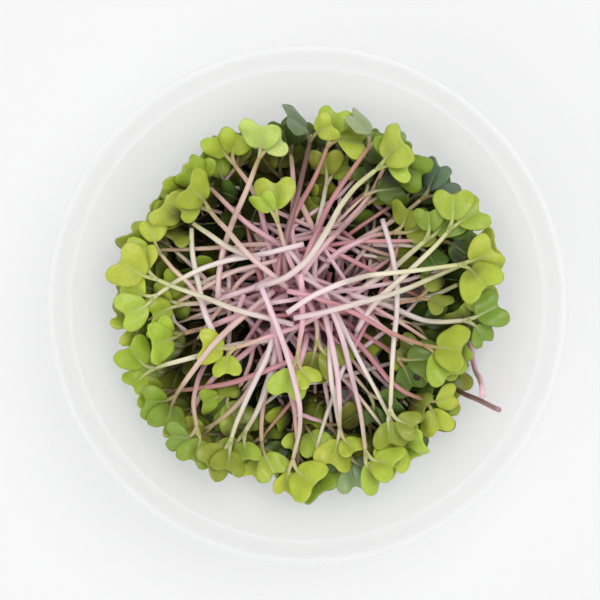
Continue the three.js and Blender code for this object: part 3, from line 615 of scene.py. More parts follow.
def gain(shoot, aim):
    """How many half cells show more of what is wanted once this shoot lies there."""
    stem, leaf, cut = stem_samples(shoot.route), leaf_samples(shoot), shoot.route[:1]
    if cut[0, 2] > top_height.flat[half_cells(cut)[0]] - CUT_COVER:
        return 0
    if aim == "stems over leaves":
        spots = half_cells(stem)
        better = (stem[:, 2] > top_height.flat[spots]) & (top_kind.flat[spots] != STEM)
        better &= half_reach.flat[spots] < STEMS_WITHIN
    elif aim == "leaves higher up":
        spots = half_cells(leaf)
        better = leaf[:, 2] > top_height.flat[spots] + WORTH_RAISING
    else:
        spots = half_cells(np.vstack([stem, leaf]))
        better = top_kind.flat[spots] == FLOOR
        over = half_cells(leaf[leaf[:, 2] > top_height.flat[half_cells(leaf)]])
        in_middle = half_reach.flat[over] < MIDDLE_RADIUS
        hidden = np.unique(over[(top_kind.flat[over] == STEM) & in_middle])
        return len(np.unique(spots[better])) - HIDDEN_COST * len(hidden)
    return len(np.unique(spots[better]))


# %% The best of a few tries
TRIES_FOR_SHOOT = 12


def slip_in(aim, reaches, lengths, spread, slopes, highest, touch, chance):
    """Of a few tries, the one that gains most is kept, as high or as low as the aim asks."""
    wanted = (half_reach > reaches[0]) & (half_reach < reaches[1])
    if aim == "no bare floor":
        wanted &= top_kind == FLOOR
    row, column = np.nonzero(wanted)
    best, best_gain = None, 0
    for _ in range(TRIES_FOR_SHOOT if len(row) else 0):
        pick = chance.randrange(len(row))
        target = np.array([half_middles[column[pick]], half_middles[row[pick]]])
        shoot = chance_shoot(target, chance.uniform(*lengths), spread, slopes, chance)
        if np.hypot(*leaf_samples(shoot)[:, :2].T).max() > MOST_REACH:
            continue
        if math.hypot(*shoot.route[0, :2]) > CUTS_WITHIN:
            continue
        heights = heights_that_fit(shoot, highest, *touch)
        if not len(heights):
            continue
        shoot.route[:, 2] += heights[0 if aim == "no bare floor" else -1]
        if gain(shoot, aim) > best_gain:
            best, best_gain = shoot, gain(shoot, aim)
    if best is not None:
        take(best)
    return best


# %% Slip them in
chance = random.Random(11)
middle, ring = half_reach < 26, (half_reach > 34) & (half_reach < 54)
# For each aim: how often it is tried, the radii aimed at, lengths, spread of headings, slopes,
# the highest lift, and the shares of its leaves and of its stem that may touch others.
kinds = {
    "stems over leaves": (120, (38, 55), (36, 66), 0.5, (-0.45, 0.1), 40, (0.01, 0.25)),
    "leaves higher up": (20, (36, 58), (12, 30), 0.6, (-0.3, 0.3), 36, (0.05, 0.3)),
    "no bare floor": (120, (0, 56), (8, 16), 3.1, (-0.2, 0.2), 18, (0.08, 0.3)),
}
slipped = {}
for aim, (count, *limits) in kinds.items():
    tried = [slip_in(aim, *limits, chance) for _ in range(count)]
    slipped[aim] = [shoot for shoot in tried if shoot is not None]
    print(
        f"{aim}: {len(slipped[aim])} more; stems on {(top_kind == STEM)[middle].mean():.0%} of the",
        f"middle, leaves on {(top_kind == LEAF)[ring].mean():.0%} of the ring,",
        f"bare floor on {(top_kind == FLOOR)[half_reach < 52].mean():.1%}",
    )

# %% [markdown]
# ## Leaves that stand on end
# The rule stands the upper leaf of some pairs almost on end, so that it clears the lower one. Seen
# from above, such a leaf is no more than a line. Real seed leaves open out, and most of these have
# room to, so the steep ones lean out, each about the end of its own stalk. This comes after the
# other shoots are slipped in, so that their places don't change with it.

# %% Lean out the leaves that stand on end
MOST_PITCH = 44 * DEGREE
steep = [leaf for shoot in top_shoots for leaf in shoot.leaves if leaf.pitch > MOST_PITCH]
for leaf in steep:
    leaf.pitch = MOST_PITCH
print("leaves leant out:", len(steep))

# %% [markdown]
# ## Modelling by hand, from code
# Each kind of piece is modelled once with Blender's own operators, in unit sizes: a primitive is
# shaped in edit mode and finished with modifiers. Then it is copied for every shoot, and the
# copy's points are moved onto its route, the way a Curve modifier would bend it. Doing the bend
# in code keeps each copy's mesh in place in the frame, with the object itself at the origin.

# %% Helpers for edit mode
MM = 0.001


def edit(piece):
    bpy.context.view_layer.objects.active = piece
    bpy.ops.object.mode_set(mode="EDIT")
    bpy.ops.mesh.select_mode(type="VERT")


def select_where(piece, wanted):
    """Selects the vertices whose place passes the test, and the edges and faces between them."""
    shape = bmesh.from_edit_mesh(piece.data)
    for vertex in shape.verts:
        vertex.select_set(wanted(vertex.co))
    shape.select_flush_mode()
    bmesh.update_edit_mesh(piece.data)


def finish_edit():
    bpy.ops.mesh.select_all(action="SELECT")
    bpy.ops.mesh.normals_make_consistent(inside=False)
    bpy.ops.object.mode_set(mode="OBJECT")
    bpy.ops.object.shade_smooth()
    bpy.context.object.select_set(False)


def points_of(piece):
    points = np.zeros(len(piece.data.vertices) * 3)
    piece.data.vertices.foreach_get("co", points)
    return points.reshape(-1, 3)


# %% [markdown]
# ## The stem
# A radish seedling's stem is round, 1.4 to 1.8 mm thick, and was cut straight across. It could be
# a curve with a bevel, but a curve has no cut end of its own, so it is a circle extruded step by
# step into a tube one unit long, with a rounded tip where the stalks leave it.

# %% Model the stem and the stalk
ROUND_TIP = 0.55  # the last ring, against the others


def model_tube(name, sides, steps):
    bpy.ops.mesh.primitive_circle_add(vertices=sides, radius=1, fill_type="NGON")
    piece = bpy.context.object
    piece.name = name
    edit(piece)
    bpy.ops.mesh.select_all(action="SELECT")
    for _ in range(steps):
        bpy.ops.mesh.extrude_region_move(TRANSFORM_OT_translate={"value": (0, 0, 1 / steps)})
    bpy.ops.transform.resize(value=(ROUND_TIP, ROUND_TIP, 1), center_override=(0, 0, 1))
    finish_edit()
    return piece


stem_fine = model_tube("stem_fine", sides=10, steps=30)
stem_plain = model_tube("stem_plain", sides=6, steps=10)
stalk_fine = model_tube("stalk_fine", sides=8, steps=12)
stalk_plain = model_tube("stalk_plain", sides=5, steps=5)

# %% [markdown]
# ## The seed leaf
# A radish's seed leaf has two round lobes: narrow at its stalk, widest past the middle, with a
# round notch at its end. It could be cut out of a sheet, but a rough cage of four faces that a
# subdivision surface rounds off gives the smooth outline with very few faces, and its lines run
# along the midrib and across it, so that the leaf bends cleanly. Solidify then makes it a blade.

# %% Model the seed leaf, one unit long, flat, with its stalk's end at the origin
# Each row of the cage: where it was, where its outer corners and its middle go, its half width.
CAGE_ROWS = [(0.0, 0.0, 0.0, 0.28), (0.5, 0.56, 0.5, 0.77), (1.0, 1.08, 0.98, 0.62)]
NOTCH_DEPTH, NOTCH_REACH = 0.16, 0.36
BLADE_THICKNESS = 0.055


def model_blade(name, levels):
    bpy.ops.mesh.primitive_grid_add(
        x_subdivisions=2, y_subdivisions=2, size=1, location=(0.5, 0, 0)
    )
    piece = bpy.context.object
    piece.name = name
    bpy.ops.object.transform_apply(location=True, rotation=False, scale=False)
    edit(piece)
    for row, outer, middle, half in reversed(CAGE_ROWS):
        select_where(piece, lambda co: abs(co.x - row) < 0.01 and abs(co.y) < 0.01)
        bpy.ops.transform.translate(value=(middle - row, 0, 0))
        select_where(piece, lambda co: abs(co.x - row) < 0.01 and abs(co.y) > 0.4)
        bpy.ops.transform.translate(value=(outer - row, 0, 0))
        bpy.ops.transform.resize(value=(1, half / 0.5, 1), center_override=(0, 0, 0))
    bpy.ops.object.mode_set(mode="OBJECT")
    rounding = piece.modifiers.new("round outline", "SUBSURF")
    rounding.levels = rounding.render_levels = levels
    bpy.ops.object.modifier_apply(modifier=rounding.name)
    edit(piece)
    select_where(piece, lambda co: co.x > 0.9 and abs(co.y) < 0.01)
    bpy.ops.transform.translate(
        value=(-NOTCH_DEPTH, 0, 0),
        use_proportional_edit=True,
        proportional_edit_falloff="SMOOTH",
        proportional_size=NOTCH_REACH,
    )
    finish_edit()
    wall = piece.modifiers.new("blade thickness", "SOLIDIFY")
    wall.thickness = BLADE_THICKNESS
    wall.offset = 0
    bpy.ops.object.modifier_apply(modifier=wall.name)
    bpy.ops.object.select_all(action="DESELECT")
    return piece


# %% Three blades of it: fine for the listed shoots, round for others that show, and plain
blade_fine = model_blade("blade_fine", levels=3)
blade_round = model_blade("blade_round", levels=2)
blade_plain = model_blade("blade_plain", levels=1)
MASTERS = [stem_fine, stem_plain, stalk_fine, stalk_plain, blade_fine, blade_round, blade_plain]
for master in MASTERS:
    low, high = points_of(master).min(axis=0), points_of(master).max(axis=0)
    print(master.name, len(master.data.polygons), "faces", low.round(2), high.round(2))

# %% [markdown]
# ## Finishes
# Three materials cover the tub and the shoots: the tub's plastic, the stems' skin and the leaves'
# skin. Each starts from what the real surface is. The colours of one shoot are stored on its
# points as "tint", so one material serves all the stems and one all the leaves. A place on the
# skin is stored there too, as "skin", because a shoot is bent and turned, and a pattern that
# read the place in the frame would cut straight through it.

# %% One helper for nodes, and one for colours
def linear(code):
    """An sRGB hex colour as linear red, green and blue."""
    parts = [int(code[k : k + 2], 16) / 255 for k in (1, 3, 5)]
    return np.array([p / 12.92 if p <= 0.04045 else ((p + 0.055) / 1.055) ** 2.4 for p in parts])


def new_material(name):
    material = bpy.data.materials.new(name)
    material.use_nodes = True
    tree = material.node_tree
    shader = next(node for node in tree.nodes if node.type == "BSDF_PRINCIPLED")
    return material, tree, shader


def set_inputs(node, inputs):
    """Each input is given a number or a colour, or another node's output to be linked to."""
    for socket, value in inputs.items():
        if isinstance(value, bpy.types.NodeSocket):
            node.id_data.links.new(value, node.inputs[socket])
        else:
            node.inputs[socket].default_value = value


def add_node(tree, kind, inputs, out=0, **settings):
    """Adds a node and gives back one of its outputs. Inputs are named, or listed in order.

    A MapRange's are the value, the two ends it comes from and the two ends it goes to.
    """
    node = tree.nodes.new("ShaderNode" + kind)
    for name, value in settings.items():
        setattr(node, name, value)
    set_inputs(node, inputs if isinstance(inputs, dict) else dict(enumerate(inputs)))
    return node.outputs[out]


def set_shader(shader, **values):
    set_inputs(shader, {name.replace("_", " "): value for name, value in values.items()})


# %% Radish stem skin: thin, wet and let through by light, with faint streaks lengthwise
# The eye sees a soft shine along each stem. A skin place counts stem radii across and millimetres
# along. The streaks are drawn as wide as they need to be to show.
STEM_RADIUS, STREAK_WIDTH, STREAK_LENGTH = 0.9, 0.4018, 5.208  # millimetres
stem_skin, tree, shader = new_material("radish stem skin")
tint = add_node(tree, "Attribute", [], "Color", attribute_name="tint")
skin = add_node(tree, "Attribute", [], "Vector", attribute_name="skin")
across = STEM_RADIUS / STREAK_WIDTH
place = add_node(tree, "Mapping", {"Vector": skin, "Scale": (across, across, 1 / STREAK_LENGTH)})
streaks = add_node(tree, "TexNoise", {"Vector": place, "Scale": 1.0, "Detail": 3.0})
shade = add_node(tree, "MapRange", [streaks, 0.3, 0.7, 0.82, 1.12])
colour = add_node(tree, "VectorMath", {0: tint, "Scale": shade}, operation="SCALE")
bump = add_node(tree, "Bump", {"Height": streaks, "Strength": 0.35, "Distance": 0.15 * MM})
set_shader(shader, Base_Color=colour, Normal=bump, Roughness=0.3, IOR=1.42)
set_shader(shader, Subsurface_Weight=0.15, Subsurface_Scale=0.6 * MM)
set_shader(shader, Subsurface_Radius=(1.0, 0.8, 0.7))

# %% Radish seed leaf skin: a waxy blade with a pale midrib and a few side veins
# The eye sees a soft gloss, an edge that is yellower than the middle, and a greyer underside.
# A skin place counts blade lengths from the root, X along the midrib and Y across it. The side
# veins are drawn as wide as they need to be to show. Sizes are in millimetres on a blade of 10.
BLADE_LENGTH = 10
VEINS_APART, VEIN_HALF, MIDRIB_HALF, MOTTLE = 2.0, 0.22, 0.5, 1.111
leaf_skin, tree, shader = new_material("radish seed leaf skin")
tint = add_node(tree, "Attribute", [], "Color", attribute_name="tint")
skin = add_node(tree, "Attribute", [], "Vector", attribute_name="skin")
axes = add_node(tree, "SeparateXYZ", [skin]).node.outputs
out = add_node(tree, "Math", [axes["Y"]], operation="ABSOLUTE")
slanted = add_node(tree, "Math", [out, -0.75, axes["X"]], operation="MULTIPLY_ADD")
paces = add_node(tree, "Math", [slanted, VEINS_APART / 2 / BLADE_LENGTH], operation="PINGPONG")
side_veins = add_node(tree, "MapRange", [paces, 0.0, VEIN_HALF / BLADE_LENGTH, 1.0, 0.0])
midrib = add_node(tree, "MapRange", [out, 0.012, MIDRIB_HALF / BLADE_LENGTH, 1.0, 0.0])
joined = {"operation": "MULTIPLY_ADD", "use_clamp": True}
veins = add_node(tree, "Math", [side_veins, 0.12, midrib], **joined)
mottle = {"Vector": skin, "Scale": BLADE_LENGTH / MOTTLE, "Detail": 3.0}
mottle = add_node(tree, "TexNoise", mottle)
shade = add_node(tree, "MapRange", [mottle, 0.3, 0.7, 0.93, 1.06])
body = add_node(tree, "VectorMath", {0: tint, "Scale": shade}, operation="SCALE")
from_middle = add_node(tree, "VectorMath", [skin, (0.35, 0, 0)], "Value", operation="DISTANCE")
near_edge = add_node(tree, "MapRange", [from_middle, 0.1, 0.75])
# The blade is darker and greener in the middle and lighter and yellower towards its edge.
greener, yellower = (0.8, 0.88, 0.85, 1), (1.12, 1.08, 1, 1)
edge_tone = {"Factor": near_edge, 6: greener, 7: yellower}
edge_tone = add_node(tree, "Mix", edge_tone, 2, data_type="RGBA")
edge_toned = add_node(tree, "VectorMath", [body, edge_tone], operation="MULTIPLY")
under = add_node(tree, "MapRange", [axes["Z"], -0.3, 0.3, 0.4, 0.0])
sided = {"Factor": under, 6: edge_toned, 7: (*linear("#93a97c"), 1)}
sided = add_node(tree, "Mix", sided, 2, data_type="RGBA")
fading = add_node(tree, "MapRange", [axes["X"], 0.0, 0.75, 0.5, 0.08])
vein_share = add_node(tree, "Math", [veins, fading], operation="MULTIPLY")
veined = {"Factor": vein_share, 6: sided, 7: (*linear("#cbd894"), 1)}
veined = add_node(tree, "Mix", veined, 2, data_type="RGBA")
relief = add_node(tree, "Math", [mottle, 0.6, veins], operation="MULTIPLY_ADD")
bump = add_node(tree, "Bump", {"Height": relief, "Strength": 0.4, "Distance": 0.12 * MM})
set_shader(shader, Base_Color=veined, Normal=bump, Roughness=0.32, IOR=1.42)
set_shader(shader, Subsurface_Weight=0.18, Subsurface_Scale=0.6 * MM)
set_shader(shader, Subsurface_Radius=(0.5, 1.0, 0.15))

# %% The same two skins deep in the heap, where no lamp is mirrored in them
shaded = {}
for skin in (stem_skin, leaf_skin):
    shaded[skin] = skin.copy()
    shaded[skin].name = "shaded " + skin.name
    nodes = shaded[skin].node_tree.nodes
    set_shader(nodes["Principled BSDF"], Specular_IOR_Level=0.12, Roughness=0.6)

# %% Polypropylene, moulded: milky and let through by light, with a soft gloss
# The eye sees through a thin veil that is brighter up the wall, where the plastic scatters the
# room's light inside itself. A glow that grows with the distance from the axis stands for that.
# The floor has none, so the gaps of the heap stay dark.
tub_plastic, tree, shader = new_material("moulded polypropylene")
place = add_node(tree, "TexCoord", [], "Object")
flat = add_node(tree, "VectorMath", [place, (1, 1, 0)], operation="MULTIPLY")
reach = add_node(tree, "VectorMath", [flat], "Value", operation="LENGTH")
glow = add_node(tree, "MapRange", [reach, 50 * MM, 75 * MM])
glow = add_node(tree, "ValToRGB", [glow])
ramp = glow.node.color_ramp
ramp.elements[0].position = 0.08
ramp.elements[1].position = 0.32
ramp.elements.new(1.0).color = (0.75, 0.75, 0.75, 1)
cloud = add_node(tree, "TexNoise", {"Vector": place, "Scale": 1 / (6.25 * MM), "Detail": 3.0})
bump = add_node(tree, "Bump", {"Height": cloud, "Strength": 0.05, "Distance": 0.2 * MM})
set_shader(shader, Base_Color=(*linear("#d2d2d4"), 1), Alpha=0.21, Roughness=0.28, IOR=1.49)
set_shader(shader, Emission_Color=glow, Emission_Strength=0.4, Normal=bump)

# %% Give the masters their skins, which every copy then has
for master in MASTERS:
    master.data.materials.append(leaf_skin if master.name.startswith("blade") else stem_skin)
    print(master.name, "has", master.data.materials[0].name)

# %% [markdown]
# ## Bending a copy onto its place
# A tube follows a line: each of its rings is set square to the line at its own share of the way.
# The stations of a shoot are joined by straight stretches in the solids. A real stem has no
# corners, so the line is sampled finely and each sample becomes the average of its neighbours.
# An average never leaves the corners' inside, so a stem stays where its solid is.

# %% Tubes
def follow(points, line, radii):
    """Moves a unit tube's points onto the line. radii are its radius at even shares of the way."""
    share = points[:, 2]
    marks = np.linspace(0, 1, len(line))
    middle = np.stack([np.interp(share, marks, line[:, k]) for k in range(3)], axis=1)
    slopes = np.gradient(line, axis=0)
    along = np.stack([np.interp(share, marks, slopes[:, k]) for k in range(3)], axis=1)
    along /= np.linalg.norm(along, axis=1, keepdims=True)
    left = np.stack([-along[:, 1], along[:, 0], np.zeros(len(along))], axis=1)
    left /= np.linalg.norm(left, axis=1, keepdims=True)
    up = np.cross(along, left)
    radius = np.interp(share, np.linspace(0, 1, len(radii)), radii)[:, None]
    return middle + (left * points[:, :1] + up * points[:, 1:2]) * radius


# %% [markdown]
# ## The heap's own shade
# Light that gets down between the shoots is soon lost, and what is left came through other
# shoots and is redder. A render finds most of this by itself, but its thin leaves let more
# through than a wet heap does. So the rest is worked out for each point, from how far it lies
# below the heap's top or inside the tub's wall, and darkens the colour that is stored there.

# %% How much light gets down to a point
HOLES_CLOSED = 3  # half cells on each side, so that a gap between stems is no way in
SHADE_REACH = 15  # half cells over which the heap's top is averaged
LEAF_LIGHT_REACH = 5.8  # millimetres down in which two thirds of the light is lost
STEM_LIGHT_REACH = 22  # more gets through between the thin stems in the middle
LIT_DEPTH = 2.2  # millimetres in which none is lost
WALL_LIGHT = 0.65  # a way in through the wall counts as this much of one from the top
LEAST_LIGHT = 0.03
STEM_DEPTH_HUE = (0.75, 1.15, 1.05)  # below 1, more of the red, green or blue is kept
LEAF_DEPTH_HUE = (0.93, 1.0, 1.05)
DEEP_SHADE = 0.4  # mean light below which a part's skin is the shaded one

# %% The heap's top, closed over its narrow gaps and averaged
soft_top = top_height.copy()
for axis in (0, 1):
    shifts = range(-HOLES_CLOSED, HOLES_CLOSED + 1)
    soft_top = np.maximum.reduce([np.roll(soft_top, shift, axis) for shift in shifts])
for axis in (0, 1):
    kernel = np.ones(SHADE_REACH) / SHADE_REACH
    soft_top = np.apply_along_axis(np.convolve, axis, soft_top, kernel, "same")
print(f"averaged top of the heap: up to {soft_top.max():.1f} mm")


# %% The light at a point, which falls off with its depth
def light_at(points, reach):
    height = np.clip(points[:, 2], FLOOR_TOP, SHOULDER_HEIGHT)
    wall = np.interp(height, (FLOOR_TOP, SHOULDER_HEIGHT), (FLOOR_RADIUS, SHOULDER_RADIUS))
    from_wall = WALL_LIGHT * (wall - np.hypot(points[:, 0], points[:, 1]) + 1)
    from_top = soft_top.flat[half_cells(points)] - points[:, 2]
    depth = np.clip(np.minimum(from_top, from_wall) - LIT_DEPTH, 0, None)
    return LEAST_LIGHT + (1 - LEAST_LIGHT) * np.exp(-((depth / reach) ** 2))


# %% A copy of a master, with its own mesh, and values on its points
def add_values(mesh, name, kind, values):
    """Stores one value for each point, which a material reads with an Attribute node."""
    attribute = mesh.attributes.new(name, kind, "POINT")
    key = "color" if kind == "FLOAT_COLOR" else "vector"
    attribute.data.foreach_set(key, np.asarray(values, np.float32).ravel())


def copy_of(master, points):
    """The points are its places in the frame, in millimetres."""
    copy = master.copy()
    copy.data = master.data.copy()
    bpy.context.scene.collection.objects.link(copy)
    copy.data.vertices.foreach_set("co", (points * MM).ravel())
    copy.data.update()
    return copy


# %% A copy in its place, shaded, and several of them joined to one piece
def place_copy(master, points, tint, skin, reach=LEAF_LIGHT_REACH, hue=LEAF_DEPTH_HUE):
    light = light_at(points, reach)
    tint = tint * light[:, None] ** hue
    copy = copy_of(master, points)
    if light.mean() < DEEP_SHADE:
        copy.data.materials[0] = shaded[copy.data.materials[0]]
    add_values(copy.data, "tint", "FLOAT_COLOR", np.column_stack([tint, np.ones(len(tint))]))
    add_values(copy.data, "skin", "FLOAT_VECTOR", skin)
    return copy


def join(parts, name):
    bpy.ops.object.select_all(action="DESELECT")
    for part in parts:
        part.select_set(True)
    bpy.context.view_layer.objects.active = parts[0]
    bpy.ops.object.join()
    piece = bpy.context.object
    piece.name = piece.data.name = name
    piece.select_set(False)
    return piece


# %% Colours of the shoots: the palette
# A stem's colour at its cut end, past its middle and under its leaves.
STEM_MARKS = (0.0, 0.65, 1.0)
STEM_COLOURS = {
    "white": ("#f2dce4", "#f5ebe3", "#e4ddb0"),
    "lilac": ("#f5d8e3", "#f0d1d8", "#dccca2"),
    "pink": ("#f0c6d3", "#e9bbc2", "#d3ba90"),
    "red": ("#e2a8b5", "#d6989c", "#b8926e"),
    "tan": ("#f0d0d1", "#e4c6b6", "#ccb788"),
    "straw": ("#efd6de", "#efe7cc", "#d2d48e"),
    "plum": ("#b58f93", "#84605e", "#6a5046"),
}
LEAF_COLOURS = {
    "lime": "#b3c649",
    "pale": "#c9d67c",
    "fresh": "#a2b63f",
    "green": "#84a03a",
    "olive": "#8e9c3a",
    "deep": "#5c782b",
    "grey": "#96ad84",
    "slate": "#6c8466",
}
LEAF_SPREAD = ((0.92, 1.08), (0.95, 1.06), (0.8, 1.2))  # how far red, green and blue may vary


def stem_tint(colour, share, brightness):
    codes = np.array([linear(code) for code in STEM_COLOURS[colour]])
    tint = np.stack([np.interp(share, STEM_MARKS, codes[:, k]) for k in range(3)], axis=1)
    return tint * brightness


# %% Sizes of the fine shoots, and the bend of a blade
# Radii in millimetres at even shares of the way.
STEM_RADII = np.array([0.9, 0.92, 0.95, 0.92, 0.88, 0.82, 0.75, 0.68])
STALK_RADII = [0.6, 0.64, 0.62, 0.6, 0.5, 0.34, 0.1]
BUD_RADII = [0.4, 0.6, 0.72, 0.66, 0.4, 0.06]
BUD_LINE = [(-0.4, 0), (0.5, 0), (1.3, 0.5), (1.9, 1.3)]  # millimetres ahead and up
WOBBLE = 0.22  # millimetres to the left and right of a stem's line
DOME, WAVE = 0.09, 0.06  # of a blade's length
RIBS = [0.3, 0.62]  # shares of the blade that the stalk runs on under


def tube_skin(points, length):
    """Radii across the tube and millimetres along it, so that streaks run lengthwise on each."""
    return np.column_stack([points[:, 0], points[:, 1], points[:, 2] * length])


def bend_blade(points, place, leaf, chance):
    """The blade's points in the frame, in millimetres: folded, arched, domed and a little wavy."""
    root, along, across, up, _ = place
    u, v, height = points.T
    v = v * (1 + chance.uniform(-0.08, 0.08) * np.sign(v))  # one lobe is wider
    u = u - chance.uniform(0, 0.1) * np.exp(-((v / 0.2) ** 2)) * u**4  # and the notch is deeper
    fold = leaf.fold * (np.hypot(v, 0.06) - 0.06)  # a V with a round bottom
    dome = DOME * np.sin(np.pi * np.clip(np.abs(v) / 0.6, 0, 1))
    wave = WAVE * np.abs(v) * np.sin(2 * np.pi * (1.3 * u + chance.random()) + 1.5 * np.sign(v))
    lift = fold - leaf.arch * u * u + dome + wave + height
    spots = np.column_stack([u, v, lift]) * leaf.length
    return root + spots[:, :1] * along + spots[:, 1:2] * across + spots[:, 2:] * up


# %% One leaf: a stalk that runs on under it as its midrib, and its blade
def shows_from_above(place, leaf):
    """Whether more than a tenth of it is the highest thing, or almost."""
    points = over_leaf(leaf_points(place, leaf, 0))
    return (points[:, 2] > top_height.flat[half_cells(points)] - ALMOST_TOP).mean() > 0.1


def make_leaf(tip, before_tip, place, leaf, colour, stem_end, masters, chance):
    root, along, _, up, stalk = place
    rib = [root + (u * along - (leaf.arch * u * u + 0.012) * up) * leaf.length for u in RIBS]
    line = smooth_line([before_tip, tip, tip + stalk * STALK_LENGTH * 0.5, root, *rib])
    local = points_of(masters.stalk)
    length = np.linalg.norm(line[-1] - line[0])
    leaf_tint = linear(LEAF_COLOURS[colour]) * [chance.uniform(*span) for span in LEAF_SPREAD]
    vein_tint = leaf_tint * 0.72 + linear("#dce0b4") * 0.28
    share = local[:, 2:]
    tint = stem_end * (1 - share) + vein_tint * share
    placed = follow(local, line, STALK_RADII)
    parts = [place_copy(masters.stalk, placed, tint, tube_skin(local, length))]
    master = masters.seen_blade if shows_from_above(place, leaf) else masters.blade
    flat = points_of(master)
    blade = bend_blade(flat, place, leaf, chance)
    tints = np.tile(leaf_tint, (len(flat), 1))
    parts.append(place_copy(master, blade, tints, flat / [1, 1, BLADE_THICKNESS]))
    return parts


# %% One shoot: its stem and its two leaves, and on the fine ones a bud between them
def make_shoot(shoot, masters, chance, thickness=1.0):
    line = smooth_line(shoot.route)
    marks = np.linspace(0, 1, len(line))
    slope = line[-1] - line[0]
    left = np.array([-slope[1], slope[0], 0]) / math.hypot(slope[0], slope[1])
    waves = np.sin(2 * np.pi * (1.7 * marks + chance.random()))
    line = line + (WOBBLE * np.sin(np.pi * marks) * waves)[:, None] * left
    radii = STEM_RADII * (chance.uniform(0.88, 1.06) * thickness)
    local = points_of(masters.stem)
    tint = stem_tint(shoot.stem_colour, local[:, 2], chance.uniform(0.95, 1.12))
    skin = tube_skin(local, np.linalg.norm(slope))
    placed = follow(local, line, radii)
    parts = [place_copy(masters.stem, placed, tint, skin, STEM_LIGHT_REACH, STEM_DEPTH_HUE)]
    stem_end = linear(STEM_COLOURS[shoot.stem_colour][2])
    colours = shoot.leaf_colour.split() * 2
    for leaf, side, colour in zip(shoot.leaves, (1, -1), colours):
        place = leaf_frame(shoot.route[-1], shoot.heading, leaf, side)
        parts += make_leaf(line[-1], line[-3], place, leaf, colour, stem_end, masters, chance)
    return parts


def make_bud(shoot, masters):
    """The first true leaf, still a folded bud between the stalks of the two seed leaves."""
    tip, before = shoot.route[-1], shoot.route[-2]
    ahead = (tip - before) / math.dist(tip, before)
    line = smooth_line([tip + way * ahead + [0, 0, rise] for way, rise in BUD_LINE])
    local = points_of(masters.stalk)
    tint = np.tile(linear("#b9c277"), (len(local), 1))
    placed = follow(local, line, BUD_RADII)
    return place_copy(masters.stalk, placed, tint, tube_skin(local, 2))


# %% Colours by chance for the shoots that have none in the list
DARK_LEAVES_SIDE = 38  # millimetres of x and y together


def pick_colours(shoot, stems, leaves, chance):
    """At the far right of the heap the leaves are darker."""
    far_right = shoot.route[-1][0] + shoot.route[-1][1] > DARK_LEAVES_SIDE
    shoot.stem_colour = chance.choice(stems.split())
    shoot.leaf_colour = chance.choice(["green", "deep", "deep"] if far_right else leaves.split())


# %% Bunches and added shoots are plainer and a little thinner, and joined to one piece
SHOOTS_IN_PIECE = 12
THINNER = 0.86
fine = SimpleNamespace(
    stem=stem_fine, stalk=stalk_fine, blade=blade_fine, seen_blade=blade_fine
)
plain = SimpleNamespace(
    stem=stem_plain, stalk=stalk_plain, blade=blade_plain, seen_blade=blade_round
)
chance = random.Random(7)


def make_group(name, shoots, stems, leaves):
    parts = []
    for shoot in shoots:
        pick_colours(shoot, stems, leaves, chance)
        parts += make_shoot(shoot, plain, chance, THINNER)
    piece = join(parts, name)
    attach(piece, "root")
    return piece


# %% Make the fine shoots, each in its solid's place, then the bunches and the added ones
for number, shoot in enumerate(top_shoots, start=1):
    parts = make_shoot(shoot, fine, chance) + [make_bud(shoot, fine)]
    piece = join(parts, f"radish_shoot_{number}")
    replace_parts(piece, f"shoot_{number}")
    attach(piece, "root")
stems, leaves = "white lilac lilac pink red tan", "fresh green green olive deep deep"
for number, bunch in enumerate(bunches, start=1):
    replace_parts(make_group(f"radish_bunch_{number}", bunch, stems, leaves), f"bunch_{number}")
added = [shoot for group in slipped.values() for shoot in group]
stems, leaves = "white white lilac lilac pink red tan", "lime fresh fresh green olive deep"
for number, start in enumerate(range(0, len(added), SHOOTS_IN_PIECE), start=1):
    make_group(f"added_shoots_{number}", added[start : start + SHOOTS_IN_PIECE], stems, leaves)
print("shoots in all:", len(top_shoots) + BUNCHES * SHOOTS_IN_BUNCH + len(added))

# %% [markdown]
# ## Seed coats
# A seedling pushes out of a brown seed coat, and a few of these cling to a washed heap. A coat
# is half of a thin hollow ball, split open. So half a sphere is kept, squeezed, and given a wall.

# %% Radish seed coat: a dry, dark brown husk, dull and finely wrinkled
coat_skin, tree, shader = new_material("radish seed coat")
place = add_node(tree, "TexCoord", [], "Object")
grain = add_node(tree, "TexNoise", {"Vector": place, "Scale": 1 / (0.8 * MM), "Detail": 3.0})
colour = {"Factor": grain, 6: (*linear("#1c100c"), 1), 7: (*linear("#50352a"), 1)}
colour = add_node(tree, "Mix", colour, 2, data_type="RGBA")
bump = add_node(tree, "Bump", {"Height": grain, "Strength": 0.5, "Distance": 0.1 * MM})
set_shader(shader, Base_Color=colour, Normal=bump, Roughness=0.55, IOR=1.45)

# %% Model a seed coat, 2 mm long
COAT_WALL = 0.14
bpy.ops.mesh.primitive_uv_sphere_add(segments=16, ring_count=8, radius=1)
coat = bpy.context.object
coat.name = "seed_coat"
edit(coat)
bpy.ops.mesh.select_all(action="SELECT")
bpy.ops.mesh.bisect(plane_co=(0, 0, 0.1), plane_no=(0.2, 0, 1), clear_outer=True)
bpy.ops.mesh.select_all(action="SELECT")
bpy.ops.transform.resize(value=(1.2, 0.9, 0.65))
finish_edit()
wall = coat.modifiers.new("coat thickness", "SOLIDIFY")
wall.thickness = COAT_WALL
bpy.context.view_layer.objects.active = coat
bpy.ops.object.modifier_apply(modifier=wall.name)
coat.data.materials.append(coat_skin)
bpy.ops.object.select_all(action="DESELECT")

